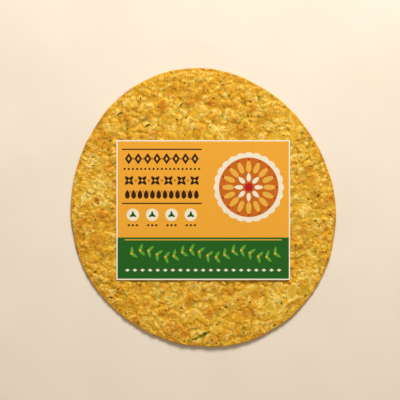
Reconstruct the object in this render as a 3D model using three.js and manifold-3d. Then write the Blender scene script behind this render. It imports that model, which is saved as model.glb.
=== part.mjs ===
// A khakhra, the thin crisp roasted flatbread, with its printed card lying flat on top.
// Millimetres, +Z up. The bread lies on z = 0 and the origin is below the middle of its box.

import * as THREE from "three";
import Module from "manifold-3d";

// Outline seen from above: a mean radius and the slow waves that hand rolling leaves in it.
// `toward` is the direction of one crest, in degrees counter-clockwise from +X.
const MEAN_RADIUS = 98.7;
const OUTLINE_WAVES = [
  { waves: 2, height: 3.2, toward: 109 },
  { waves: 3, height: 1.0, toward: 95 },
  { waves: 4, height: 0.4, toward: 17 },
  { waves: 9, height: 0.12, toward: 8 },
  { waves: 14, height: 0.12, toward: 3 },
  { waves: 23, height: 0.1, toward: 11 },
];

// The sheet: its thickness, and how the last part of it curls up from the table.
const SHEET_THICKNESS = 1.7;
const EDGE_THICKNESS = 1.2;
const EDGE_THINNING_FROM = 0.9;
const CURL_FROM = 0.6;
const CURL_MEAN = 0.75;
const CURL_SWING = 0.45;
const CURL_WAVES = 3;
const CURL_TOWARD = 40;
const ROUNDED_EDGE = 0.7;

// Blisters of the top. Each size has one blister at most in each cell of its own square grid.
const BLISTER_SIZES = [
  { grid: 15, share: 0.75, radius: [6, 10], height: [0.35, 0.85], seed: 10 },
  { grid: 5.4, share: 0.95, radius: [2.1, 4.1], height: [0.3, 0.9], seed: 30 },
];
const POPPED_SHARE = 0.05;
const TALLEST_BLISTER = 1.6;
const BLEND_POWER = 4;
const QUIET_EDGE_FROM = 0.93;
const QUIET_EDGE_LEFT = 0.35;
const WHOLE_SHARPNESS = 1.3;

// Single features of the top, in millimetres from the outline's centre. An open blister has
// burst and sunk to a ring, and a whole one is a dome.
const OPEN_BLISTERS = [
  { x: 63.9, y: -61.9, radius: 4.8, height: 0.95 },
  { x: 64.8, y: -56.4, radius: 4.1, height: 0.8 },
  { x: 49.1, y: -71.9, radius: 4.7, height: 0.9 },
  { x: 75.0, y: -53.0, radius: 3.4, height: 0.7 },
  { x: 71.8, y: -39.1, radius: 3.3, height: 0.6 },
  { x: -30.4, y: -63.5, radius: 4.4, height: 0.85 },
  { x: -49.8, y: -66.6, radius: 3.8, height: 0.8 },
  { x: -20.5, y: -56.4, radius: 3.6, height: 0.7 },
  { x: 38.0, y: 55.6, radius: 4.6, height: 0.8 },
  { x: -80.6, y: -36.7, radius: 3.5, height: 0.7 },
];
const WHOLE_BLISTERS = [
  { x: -39.4, y: -67.9, radius: 5.7, height: 1.1 },
  { x: 19.8, y: 85.9, radius: 5.6, height: 0.95 },
  { x: 23.9, y: 75.9, radius: 3.5, height: 0.9 },
  { x: -12.8, y: 60.0, radius: 3.7, height: 1.0 },
  { x: -71.6, y: -45.4, radius: 3.3, height: 1.0 },
  { x: -73.3, y: -3.6, radius: 4.2, height: 0.9 },
];
const FOLDS = [
  { from: [56.0, -71.6], to: [73.2, -65.2], bow: -0.9, width: 2.1, height: 0.85 },
  { from: [40.0, -83.4], to: [61.0, -77.8], bow: -1.2, width: 1.9, height: 0.75 },
];
const CRATERS = [
  { x: -76.6, y: 6.2, radius: 2.6, depth: 0.8 },
  { x: -15.5, y: -72.5, radius: 2.2, depth: 0.6 },
];

// Shallow hollows of the underside, around a middle that lies flat on the table.
const HOLLOWS = { grid: 17, share: 0.8, radius: [4, 8], height: [0.15, 0.4], seed: 70 };
const FLAT_MIDDLE = 16;

// Fineness of the bread's surface, as rings from the middle to the edge.
const TOP_RINGS = 33;
const UNDER_RINGS = 12;
const POINTS_PER_RING = 6;

// Flecks of chopped leaf rolled into the dough: those that catch the eye, each with its middle,
// its length and its direction in degrees, and smaller ones scattered by a rule between them.
const SEEN_FLECKS = [
  [19.1, 81.9, 2.1, 60], [7.7, 80.2, 1.8, 0], [34.3, 77.8, 1.4, 50], [-12.1, 66.1, 2.6, 52],
  [-15.8, 75.5, 3.8, 48], [-32.5, 73.9, 1.8, 45], [-60.8, 69.0, 4.4, 38], [-40.4, 60.5, 4.8, 33],
  [-45.4, 80.3, 2.4, 95], [-13.5, 91.4, 1.5, 40], [58.3, 53.4, 1.5, 20], [76.5, 7.1, 1.6, 80],
  [83.9, 9.7, 2.9, 62], [81.6, -8.6, 2.5, 42], [84.3, -12.4, 2.4, 62], [67.4, -26.3, 1.7, 20],
  [84.9, -38.0, 1.5, 30], [74.6, -63.2, 1.9, 60], [57.0, -68.5, 1.6, 80], [51.8, -84.7, 2.0, 35],
  [25.5, -66.2, 1.7, 10], [12.0, -72.7, 2.2, 15], [16.7, -71.5, 2.0, 40], [-27.4, -73.6, 1.6, 70],
  [-45.5, -55.6, 1.5, 80], [-61.6, -58.4, 2.1, 62], [-66.7, -64.3, 2.2, 170], [-78.2, -45.9, 2.2, 25],
  [-68.7, 43.2, 1.8, 60], [-68.0, 39.0, 1.6, 70], [-80.1, 37.5, 1.6, 10], [-79.7, 31.4, 1.7, 20],
  [-86.2, 41.3, 2.4, 60], [-67.2, 49.4, 2.2, 40], [-78.2, -8.2, 1.4, 20],
];
const SCATTERED_FLECKS = 40;
const SCATTERED_LENGTH = [1.2, 1.9];
const FLECK_WIDTH = [0.85, 1.35];
const FLECK_RISE = 0.2;
const FLECK_CROWN = 0.14;
const FLECK_ROOT = 0.45;
const FLECK_SEED = 90;
const FLECK_REACH = 0.95;
const FLECK_SPACING = 5;
const STRAND = { from: [-10.2, -95.4], to: [5.9, -88.5], bow: 1.1, width: 2.2, steps: 11 };
const STRAND_RISE = 0.24;
const STRAND_ROOT = 0.7;

// The printed card.
const CARD = { width: 126, depth: 101.4, thickness: 0.3, corner: 0.8, x: 0.1, y: -0.9 };
const CARD_CLEARANCE = 0.15;
const CARD_MARGIN = 2.5;

const wasm = await Module();
wasm.setup();

const radians = (degrees) => (degrees * Math.PI) / 180;
const between = ([low, high], part) => low + (high - low) * part;
const clamp = (value, low, high) => Math.min(Math.max(value, low), high);

function smoothStep(from, to, value) {
  const t = clamp((value - from) / (to - from), 0, 1);
  return t * t * (3 - 2 * t);
}

// A repeatable number from 0 to 1 for a grid cell, the same in every run.
function chance(i, j, seed) {
  let n = Math.imul(i, 374761393) + Math.imul(j, 668265263) + Math.imul(seed, 1442695041);
  n = Math.imul(n ^ (n >>> 13), 1274126177);
  n = Math.imul(n ^ (n >>> 16), 2246822519);
  return ((n ^ (n >>> 15)) >>> 0) / 2 ** 32;
}

function outlineRadius(angle) {
  return OUTLINE_WAVES.reduce(
    (sum, w) => sum + w.height * Math.cos(w.waves * (angle - radians(w.toward))),
    MEAN_RADIUS,
  );
}

// Height of one blister at a distance from its middle, as a share of its own height.
function blisterProfile(distance, sharpness, popped) {
  if (distance >= 1) return 0;
  if (!popped) return (1 - distance ** (2 * sharpness)) ** 1.6;
  if (distance < 0.7) return 0.45 + 0.55 * (distance / 0.7) ** 3;
  return 1 - ((distance - 0.7) / 0.3) ** 2;
}

// One size of blister at a point: neighbours run into each other softly.
function blisters(size, x, y) {
  const { grid, share, radius, height, seed } = size;
  let sum = 0;
  for (let i = Math.floor(x / grid) - 1; i <= Math.floor(x / grid) + 1; i += 1) {
    for (let j = Math.floor(y / grid) - 1; j <= Math.floor(y / grid) + 1; j += 1) {
      if (chance(i, j, seed) >= share) continue;
      const dx = x - (i + 0.5 + 0.8 * (chance(i, j, seed + 1) - 0.5)) * grid;
      const dy = y - (j + 0.5 + 0.8 * (chance(i, j, seed + 2) - 0.5)) * grid;
      const turn = 2 * Math.PI * chance(i, j, seed + 5);
      const angle = Math.atan2(dy, dx);
      const uneven = 1 + 0.16 * Math.sin(2 * angle + turn) + 0.1 * Math.sin(3 * angle + 2 * turn);
      const distance = Math.hypot(dx, dy) / (between(radius, chance(i, j, seed + 3)) * uneven);
      const sharpness = 1 + 1.6 * chance(i, j, seed + 6);
      const popped = chance(i, j, seed + 7) < POPPED_SHARE;
      const tall = between(height, chance(i, j, seed + 4));
      sum += (tall * blisterProfile(distance, sharpness, popped)) ** BLEND_POWER;
    }
  }
  return sum ** (1 / BLEND_POWER);
}

// A point on a bowed line between two ends, at a part of its length from 0 to 1.
function onBow({ from, to, bow }, part) {
  const [dx, dy] = [to[0] - from[0], to[1] - from[1]];
  const length = Math.hypot(dx, dy);
  const aside = bow * 4 * part * (1 - part);
  return [from[0] + dx * part - (dy / length) * aside, from[1] + dy * part + (dx / length) * aside];
}

function foldHeight(fold, x, y) {
  const length = Math.hypot(fold.to[0] - fold.from[0], fold.to[1] - fold.from[1]);
  const along = [(fold.to[0] - fold.from[0]) / length, (fold.to[1] - fold.from[1]) / length];
  const part = ((x - fold.from[0]) * along[0] + (y - fold.from[1]) * along[1]) / length;
  if (part <= 0 || part >= 1) return 0;
  const [cx, cy] = onBow(fold, part);
  const off = Math.hypot(x - cx, y - cy) / fold.width;
  return off < 1 ? fold.height * (1 - off * off) * Math.sin(Math.PI * part) ** 0.6 : 0;
}

// A single blister takes the place of the relief that would be there.
function withBlister(height, blister, open, x, y) {
  const distance = Math.hypot(x - blister.x, y - blister.y) / blister.radius;
  if (distance >= 1) return height;
  const own = blister.height * blisterProfile(distance, WHOLE_SHARPNESS, open);
  return height + (own - height) * (1 - distance ** 6);
}

// Relief of the top above the plain sheet.
function relief(x, y, share) {
  const quiet = 1 - (1 - QUIET_EDGE_LEFT) * smoothStep(QUIET_EDGE_FROM, 1, share);
  let height = BLISTER_SIZES.reduce((sum, size) => sum + blisters(size, x, y), 0) * quiet;
  for (const blister of WHOLE_BLISTERS) height = withBlister(height, blister, false, x, y);
  for (const blister of OPEN_BLISTERS) height = withBlister(height, blister, true, x, y);
  for (const fold of FOLDS) height = Math.max(height, foldHeight(fold, x, y));
  for (const crater of CRATERS) {
    const distance = Math.hypot(x - crater.x, y - crater.y) / crater.radius;
    if (distance < 1) height -= crater.depth * (1 - distance * distance);
  }
  return TALLEST_BLISTER * Math.tanh(height / TALLEST_BLISTER);
}

function curl(share, angle) {
  const bend = clamp((share - CURL_FROM) / (1 - CURL_FROM), 0, 1) ** 2;
  return bend * (CURL_MEAN + CURL_SWING * Math.cos(CURL_WAVES * (angle - radians(CURL_TOWARD))));
}

function underHeight(x, y, share, angle) {
  const open = smoothStep(FLAT_MIDDLE, FLAT_MIDDLE + 6, Math.hypot(x, y));
  return curl(share, angle) + blisters(HOLLOWS, x, y) * open;
}

function topHeight(x, y, share, angle) {
  const thinning = smoothStep(EDGE_THINNING_FROM, 1, share);
  const thickness = SHEET_THICKNESS + (EDGE_THICKNESS - SHEET_THICKNESS) * thinning;
  return curl(share, angle) + thickness + relief(x, y, share);
}

// A ring of points at a share of the way out, with its height given by a rule.
function addRing(vertices, count, share, inset, heightRule) {
  const ring = [];
  for (let p = 0; p < count; p += 1) {
    const angle = (2 * Math.PI * p) / count;
    const radius = share * (outlineRadius(angle) - inset);
    const [x, y] = [radius * Math.cos(angle), radius * Math.sin(angle)];
    ring.push(vertices.length);
    vertices.push([x, y, heightRule(x, y, share, angle)]);
  }
  return ring;
}

// Triangles between two rings, counter-clockwise from above, whatever their counts.
function stitch(inner, outer) {
  const faces = [];
  let [i, o] = [0, 0];
  const innerSteps = inner.length > 1 ? inner.length : 0;
  while (i < innerSteps || o < outer.length) {
    const outerNext = o < outer.length ? (o + 1) / outer.length : Infinity;
    const innerNext = i < innerSteps ? (i + 1) / inner.length : Infinity;
    const [a, b] = [inner[i % inner.length], outer[o % outer.length]];
    if (outerNext <= innerNext) {
      o += 1;
      faces.push([a, b, outer[o % outer.length]]);
    } else {
      i += 1;
      faces.push([a, b, inner[i % inner.length]]);
    }
  }
  return faces;
}

// Rings from the middle outwards, and the faces between them.
function addDisc(vertices, rings, edgePoints, inset, heightRule) {
  const faces = [];
  let previous = addRing(vertices, 1, 0, inset, heightRule);
  for (let k = 1; k <= rings; k += 1) {
    const count = k < rings ? POINTS_PER_RING * k : edgePoints;
    const next = addRing(vertices, count, k / rings, inset, heightRule);
    faces.push(...stitch(previous, next));
    previous = next;
  }
  return { faces, edge: previous };
}

// The sheet of bread: blistered top, rounded edge, hollowed underside.
function breadSheet() {
  const vertices = [];
  const edgePoints = POINTS_PER_RING * TOP_RINGS;
  const top = addDisc(vertices, TOP_RINGS, edgePoints, ROUNDED_EDGE, topHeight);
  const under = addDisc(vertices, UNDER_RINGS, edgePoints, ROUNDED_EDGE, underHeight);
  const lip = addRing(vertices, edgePoints, 1, 0, (x, y, share, angle) =>
    0.45 * topHeight(x, y, share, angle) + 0.55 * underHeight(x, y, share, angle));
  const down = [...under.faces, ...stitch(under.edge, lip)].map(([a, b, c]) => [a, c, b]);
  return { vertices, topFaces: top.faces, faces: [...top.faces, ...stitch(top.edge, lip), ...down] };
}

// Height of the faceted top below or above a point.
function surfaceHeight(sheet, x, y) {
  for (const [a, b, c] of sheet.topFaces) {
    const [[ax, ay, az], [bx, by, bz], [cx, cy, cz]] = [a, b, c].map((n) => sheet.vertices[n]);
    const area = (bx - ax) * (cy - ay) - (cx - ax) * (by - ay);
    const v = ((x - ax) * (cy - ay) - (cx - ax) * (y - ay)) / area;
    const w = ((bx - ax) * (y - ay) - (x - ax) * (by - ay)) / area;
    if (v >= -1e-9 && w >= -1e-9 && v + w <= 1 + 1e-9) return az + v * (bz - az) + w * (cz - az);
  }
  throw new Error("a leaf lies off the bread");
}

// A thin flake that follows the bread: a ring of points around a middle, risen and rooted.
function drapedFlake(sheet, middle, rim, rise, crown, root) {
  const ground = ([x, y]) => surfaceHeight(sheet, x, y);
  const vertices = [
    ...rim.map((p) => [...p, ground(p) + rise]),
    ...rim.map((p) => [...p, ground(p) - root]),
    [...middle, ground(middle) + rise + crown],
    [...middle, ground(middle) - root],
  ];
  const n = rim.length;
  const faces = [];
  for (let p = 0; p < n; p += 1) {
    const q = (p + 1) % n;
    faces.push([p, q, 2 * n], [n + q, n + p, 2 * n + 1], [p, n + p, n + q], [p, n + q, q]);
  }
  return { vertices, faces };
}

function fleckRim([x, y], length, width, turn) {
  const corners = [[-0.5, 0.05], [-0.2, -0.46], [0.26, -0.4], [0.5, 0.08], [0.18, 0.5], [-0.27, 0.38]];
  return corners.map(([along, across]) => {
    const [u, v] = [along * length, across * width];
    return [x + u * Math.cos(turn) - v * Math.sin(turn), y + u * Math.sin(turn) + v * Math.cos(turn)];
  });
}

function underCard([x, y]) {
  const margin = CARD_MARGIN;
  return Math.abs(x - CARD.x) < CARD.width / 2 + margin && Math.abs(y - CARD.y) < CARD.depth / 2 + margin;
}

function fleck(sheet, middle, length, width, turn) {
  const rim = fleckRim(middle, length, width, turn);
  return drapedFlake(sheet, middle, rim, FLECK_RISE, FLECK_CROWN, FLECK_ROOT);
}

function seenFlecks(sheet) {
  return SEEN_FLECKS.map(([x, y, length, toward], n) =>
    fleck(sheet, [x, y], length, between(FLECK_WIDTH, chance(n, 0, FLECK_SEED)), radians(toward)));
}

// Scattered flecks are spread evenly by the golden angle and then shaken; none lies below the card.
function scatteredFlecks(sheet) {
  const flecks = [];
  const goldenAngle = Math.PI * (3 - Math.sqrt(5));
  for (let n = 0; n < SCATTERED_FLECKS; n += 1) {
    const toss = (k) => chance(n, k, FLECK_SEED);
    const angle = n * goldenAngle + 0.9 * (toss(1) - 0.5);
    const spread = clamp((n + 0.5 + 5 * (toss(2) - 0.5)) / SCATTERED_FLECKS, 0, 1);
    const radius = FLECK_REACH * Math.sqrt(spread) * outlineRadius(angle);
    const middle = [radius * Math.cos(angle), radius * Math.sin(angle)];
    if (underCard(middle) || nearSeenFleck(middle)) continue;
    const length = between(SCATTERED_LENGTH, toss(3));
    flecks.push(fleck(sheet, middle, length, between(FLECK_WIDTH, toss(4)), 2 * Math.PI * toss(5)));
  }
  return flecks;
}

function nearSeenFleck([x, y]) {
  return SEEN_FLECKS.some(([sx, sy]) => Math.hypot(x - sx, y - sy) < FLECK_SPACING);
}

// The long strand: three rows of points on top and two below, closed at both ends.
function leafStrand(sheet) {
  const vertices = [];
  const faces = [];
  const steps = STRAND.steps;
  for (let s = 0; s <= steps; s += 1) {
    const part = s / steps;
    const [x, y] = onBow(STRAND, part);
    const [ax, ay] = onBow(STRAND, part + 0.01);
    const step = Math.hypot(ax - x, ay - y);
    const half = (STRAND.width / 2) * (0.25 + 0.75 * Math.sin(Math.PI * part ** 1.5) ** 0.7);
    const [nx, ny] = [(-(ay - y) / step) * half, ((ax - x) / step) * half];
    const rows = [[x + nx, y + ny], [x, y], [x - nx, y - ny]];
    rows.forEach(([px, py], row) => {
      const crown = row === 1 ? FLECK_CROWN : 0;
      vertices.push([px, py, surfaceHeight(sheet, px, py) + STRAND_RISE + crown]);
    });
    [rows[0], rows[2]].forEach(([px, py]) => {
      vertices.push([px, py, surfaceHeight(sheet, px, py) - STRAND_ROOT]);
    });
  }
  const loop = [0, 1, 2, 4, 3];
  for (let s = 0; s < steps; s += 1) {
    loop.forEach((corner, c) => {
      const [a, b] = [5 * s + corner, 5 * s + loop[(c + 1) % 5]];
      faces.push([a, b, b + 5], [a, b + 5, a + 5]);
    });
  }
  const cap = [[0, 3, 1], [1, 3, 4], [1, 4, 2]];
  faces.push(...cap, ...cap.map((face) => face.map((n) => n + 5 * steps).reverse()));
  return { vertices, faces };
}

function toSolid({ vertices, faces }) {
  return new wasm.Manifold(new wasm.Mesh({
    numProp: 3,
    vertProperties: new Float32Array(vertices.flat()),
    triVerts: new Uint32Array(faces.flat()),
  }));
}

function toGeometry(solid) {
  const { vertProperties, triVerts } = solid.getMesh();
  const geometry = new THREE.BufferGeometry();
  geometry.setAttribute("position", new THREE.BufferAttribute(new Float32Array(vertProperties), 3));
  geometry.setIndex(new THREE.BufferAttribute(new Uint32Array(triVerts), 1));
  return geometry;
}

// The card rests a hair above the highest blister below it.
function cardHeight(sheet) {
  const below = sheet.vertices.filter((vertex) => underCard(vertex));
  return Math.max(...below.map(([, , z]) => z)) + CARD_CLEARANCE;
}

function cardGeometry() {
  const { width, depth, thickness, corner } = CARD;
  const [x, y] = [width / 2, depth / 2];
  const shape = new THREE.Shape();
  shape.moveTo(-x + corner, -y);
  shape.lineTo(x - corner, -y);
  shape.absarc(x - corner, -y + corner, corner, -Math.PI / 2, 0, false);
  shape.lineTo(x, y - corner);
  shape.absarc(x - corner, y - corner, corner, 0, Math.PI / 2, false);
  shape.lineTo(-x + corner, y);
  shape.absarc(-x + corner, y - corner, corner, Math.PI / 2, Math.PI, false);
  shape.lineTo(-x, -y + corner);
  shape.absarc(-x + corner, -y + corner, corner, Math.PI, 1.5 * Math.PI, false);
  return new THREE.ExtrudeGeometry(shape, { depth: thickness, bevelEnabled: false, curveSegments: 5 });
}

function namedMesh(name, geometry, colour, roughness) {
  const mesh = new THREE.Mesh(geometry, new THREE.MeshStandardMaterial({ color: colour, roughness }));
  mesh.name = name;
  return mesh;
}

// Where the middle of the outline's box lies, so that the box can be centred on the origin.
function boxMiddle(sheet) {
  const span = (axis) => {
    const values = sheet.vertices.map((vertex) => vertex[axis]);
    return (Math.min(...values) + Math.max(...values)) / 2;
  };
  return [span(0), span(1)];
}

function buildPart() {
  const sheet = breadSheet();
  const [middleX, middleY] = boxMiddle(sheet);
  let solid = toSolid(sheet);
  const leaves = [...seenFlecks(sheet), ...scatteredFlecks(sheet), leafStrand(sheet)];
  for (const leaf of leaves) solid = solid.add(toSolid(leaf));

  const bread = namedMesh("khakhra", toGeometry(solid), 0xd8a136, 0.75);
  bread.geometry.translate(-middleX, -middleY, 0);
  const card = namedMesh("label_card", cardGeometry(), 0xf1a837, 0.5);
  card.geometry.translate(CARD.x - middleX, CARD.y - middleY, cardHeight(sheet));

  const part = new THREE.Group();
  part.name = "khakhra_with_card";
  part.add(bread, card);
  return part;
}

export default buildPart();
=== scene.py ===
"""A roasted khakhra flatbread and the flat printed card that lies on it.

The bread is one closed mesh whose relief follows the same blisters as the solid that it stands
for, with a finer crust. Leaf flecks and bran are laid on it, and the card is a thin sheet with
its print as thin layers. Sizes are millimetres here, and a mesh is made in metres. A place seen
from above is one complex number, x to the card's right and y towards its top.
"""

from __future__ import annotations

import logging
import math
from collections.abc import Callable, Sequence
from dataclasses import dataclass, field
from enum import Enum

import bpy
import numpy as np
from mathutils import Matrix, Vector

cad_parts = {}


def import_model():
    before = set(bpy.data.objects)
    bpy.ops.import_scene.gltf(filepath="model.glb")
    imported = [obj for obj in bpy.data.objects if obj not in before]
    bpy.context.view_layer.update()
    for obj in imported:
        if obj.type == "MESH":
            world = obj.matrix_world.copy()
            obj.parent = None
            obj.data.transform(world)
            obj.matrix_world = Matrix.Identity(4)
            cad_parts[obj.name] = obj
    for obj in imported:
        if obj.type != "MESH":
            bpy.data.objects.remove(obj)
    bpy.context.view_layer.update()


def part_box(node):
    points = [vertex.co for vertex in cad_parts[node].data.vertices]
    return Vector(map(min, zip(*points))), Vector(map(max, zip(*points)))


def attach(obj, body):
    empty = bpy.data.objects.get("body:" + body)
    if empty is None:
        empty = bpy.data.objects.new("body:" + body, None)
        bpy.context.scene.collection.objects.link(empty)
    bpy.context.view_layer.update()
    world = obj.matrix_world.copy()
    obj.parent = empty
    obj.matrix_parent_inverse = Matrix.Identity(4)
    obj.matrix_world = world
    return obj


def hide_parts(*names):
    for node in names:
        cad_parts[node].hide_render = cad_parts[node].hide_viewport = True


log = logging.getLogger("khakhra")

MM = 0.001
BODY = "root"
BREAD_NODE = "khakhra"
CARD_NODE = "label_card"

Rgb = tuple[int, int, int]
Range = tuple[float, float]
Patch = tuple[complex, float]
Noise = tuple[float, float, int]
Array = np.ndarray
Socket = bpy.types.NodeSocket
Object = bpy.types.Object
Material = bpy.types.Material


def linear(colour: Rgb) -> tuple[float, float, float, float]:
    """Turn a screen colour into the scene's linear light.

    Args:
        colour: Red, green and blue from 0 to 255, as a screen shows them.

    Returns:
        Red, green, blue and a full alpha, from 0 to 1.
    """
    parts = (c / 255 for c in colour)
    red, green, blue = (p / 12.92 if p <= 0.04045 else ((p + 0.055) / 1.055) ** 2.4 for p in parts)
    return red, green, blue, 1.0


def turns(count: int) -> list[float]:
    """Return angles spread evenly over one turn."""
    return [2 * math.pi * k / count for k in range(count)]


def polar(distance: Array | float, angle: Array | float) -> Array | complex:
    """Return the place at a distance and an angle, in radians, from the middle."""
    return distance * np.cos(angle) + 1j * distance * np.sin(angle)


def between(limits: Range, part: Array | float) -> Array | float:
    """Return the value at a part, from 0 to 1, of the way between two limits."""
    return limits[0] + (limits[1] - limits[0]) * part


def smooth_step(start: float, end: float, value: Array) -> Array:
    """Return how far values have risen, smoothly from 0 at start to 1 at end, which may lie below it."""
    part = np.clip((value - start) / (end - start), 0.0, 1.0)
    return part * part * (3.0 - 2.0 * part)


def chance(i: Array | int, j: Array | int, seed: int) -> Array:
    """Toss a repeatable number for a cell of a grid.

    Args:
        i: The cell's column.
        j: The cell's row.
        seed: Which of the cell's numbers is wanted.

    Returns:
        Numbers from 0 to 1, the same in every run.
    """
    column, row = (np.asarray(v, np.int64) & 0xFFFFFFFF for v in (i, j))
    mixed = (column * 374761393 + row * 668265263 + seed * 1442695041) & 0xFFFFFFFF
    for shift, factor in ((13, 1274126177), (16, 2246822519)):
        mixed = ((mixed ^ (mixed >> shift)) * factor) & 0xFFFFFFFF
    return (mixed ^ (mixed >> 15)) / 2.0**32


def value_noise(place: Array, size: float, seed: int) -> Array:
    """Soft noise with patches of a given size.

    Args:
        place: Where it is read.
        size: Width of a patch, in the unit of the places.
        seed: Which noise is wanted.

    Returns:
        Values from 0 to 1.
    """
    x, y = place.real / size, place.imag / size
    i, j = np.floor(x).astype(int), np.floor(y).astype(int)
    u, v = smooth_step(0, 1, x - i), smooth_step(0, 1, y - j)
    low, high = (between((chance(i, row, seed), chance(i + 1, row, seed)), u) for row in (j, j + 1))
    return between((low, high), v)


def layered_noise(place: Array, layers: Sequence[Noise]) -> Array:
    """Add up soft noises, each of a patch size, a share and a seed."""
    return sum(share * value_noise(place, size, seed) for size, share, seed in layers)


# Nodes


class Signal:
    """A number on its way through a tree of nodes, with the sums that are used."""

    def __init__(self, bench: Bench, socket: Socket) -> None:
        """Wrap a socket that gives a number."""
        self.bench, self.socket = bench, socket

    def _sum(self, operation: str, first: Number, second: Number) -> Signal:
        """Add one Math node and return its result."""
        node = self.bench.add("ShaderNodeMath", {"operation": operation}, {0: first, 1: second})
        return Signal(self.bench, node.outputs[0])

    def __add__(self, other: Number) -> Signal:
        """Add."""
        return self._sum("ADD", self, other)

    def __sub__(self, other: Number) -> Signal:
        """Subtract."""
        return self._sum("SUBTRACT", self, other)

    def __rsub__(self, other: Number) -> Signal:
        """Subtract from a plain number."""
        return self._sum("SUBTRACT", other, self)

    def __mul__(self, other: Number) -> Signal:
        """Multiply."""
        return self._sum("MULTIPLY", self, other)

    __radd__ = __add__
    __rmul__ = __mul__

    def step(self, start: float, end: float) -> Signal:
        """Rise smoothly from 0 to 1.

        Args:
            start: Where the rise begins; it may be above end, for a fall.
            end: Where the step reaches 1.

        Returns:
            The step's height.
        """
        sockets = {"Value": self, "From Min": start, "From Max": end}
        node = self.bench.add("ShaderNodeMapRange", {"interpolation_type": "SMOOTHSTEP"}, sockets)
        return Signal(self.bench, node.outputs["Result"])


Number = Signal | Socket | float


class Bench:
    """Lays nodes into one tree: a node's settings first, then its sockets."""

    def __init__(self, tree: bpy.types.NodeTree) -> None:
        """Work on a tree."""
        self.tree = tree

    def plug(self, socket: Socket, value: object) -> None:
        """Set a socket, or link it to what makes its value.

        Args:
            socket: The socket, of a node in this tree.
            value: A plain value, a signal or another node's socket.
        """
        source = value.socket if isinstance(value, Signal) else value
        if isinstance(source, Socket):
            self.tree.links.new(source, socket)
        else:
            socket.default_value = source

    def add(self, kind: str, settings: dict | None = None, sockets: dict | None = None) -> bpy.types.Node:
        """Add one node.

        Args:
            kind: The node's type.
            settings: Its own settings, by name.
            sockets: A value or a link for each input, by name or number.

        Returns:
            The new node.
        """
        node = self.tree.nodes.new(kind)
        for name, value in (settings or {}).items():
            setattr(node, name, value)
        for key, value in (sockets or {}).items():
            self.plug(node.inputs[key], value)
        return node

    def attribute(self, name: str) -> Signal:
        """Read a number that the mesh holds at its points."""
        return Signal(self, self.add("ShaderNodeAttribute", {"attribute_name": name}).outputs["Fac"])

    def noise(self, place: Socket, size: float, detail: float = 2.0) -> Signal:
        """Soft noise in space, around a half.

        Args:
            place: The coordinates to read it at, in metres.
            size: Width of its patches in millimetres.
            detail: How many finer noises are laid over it.

        Returns:
            The noise.
        """
        sockets = {"Vector": place, "Scale": 1.0 / (size * MM), "Detail": detail}
        return Signal(self, self.add("ShaderNodeTexNoise", None, sockets).outputs[0])

    def layered(self, ground: Rgb, *layers: tuple[Rgb, Number]) -> Socket:
        """Lay colours over one another.

        Args:
            ground: The lowest colour.
            layers: Each further colour with how much of it covers, from 0 to 1.

        Returns:
            The colour that shows.
        """
        settings = {"data_type": "RGBA", "clamp_factor": True}
        under = linear(ground)
        for colour, cover in layers:
            under = self.add("ShaderNodeMix", settings, {0: cover, 6: under, 7: linear(colour)}).outputs[2]
        return under

    def bump(self, height: Signal, depth: float) -> Socket:
        """Shade fine relief, whose height goes from 0 to 1 and is a depth in millimetres at 1."""
        sockets = {"Height": height, "Distance": depth * MM, "Strength": 1.0}
        return self.add("ShaderNodeBump", None, sockets).outputs["Normal"]


@dataclass(frozen=True)
class Finish:
    """What every finish has: a name, a roughness, a specular level and a material made of them."""

    name: str
    roughness: float = 0.7
    specular: float = 0.5

    def looks(self, bench: Bench, place: Socket) -> dict[str, Number]:
        """Return what changes over the surface, named for the shader's sockets.

        Args:
            bench: The material's bench.
            place: The surface's places in its object, in metres.

        Returns:
            A colour, and any roughness or relief of the finish's own.
        """
        raise NotImplementedError

    def material(self) -> Material:
        """Make the material.

        Returns:
            The material, with a Principled shader.
        """
        material = bpy.data.materials.new(self.name)
        material.use_nodes = True
        bench = Bench(material.node_tree)
        place = bench.add("ShaderNodeTexCoord").outputs["Object"]
        sockets = {"Roughness": self.roughness, "Specular IOR Level": self.specular}
        for name, value in {**sockets, **self.looks(bench, place)}.items():
            bench.plug(material.node_tree.nodes["Principled BSDF"].inputs[name], value)
        return material


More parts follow.
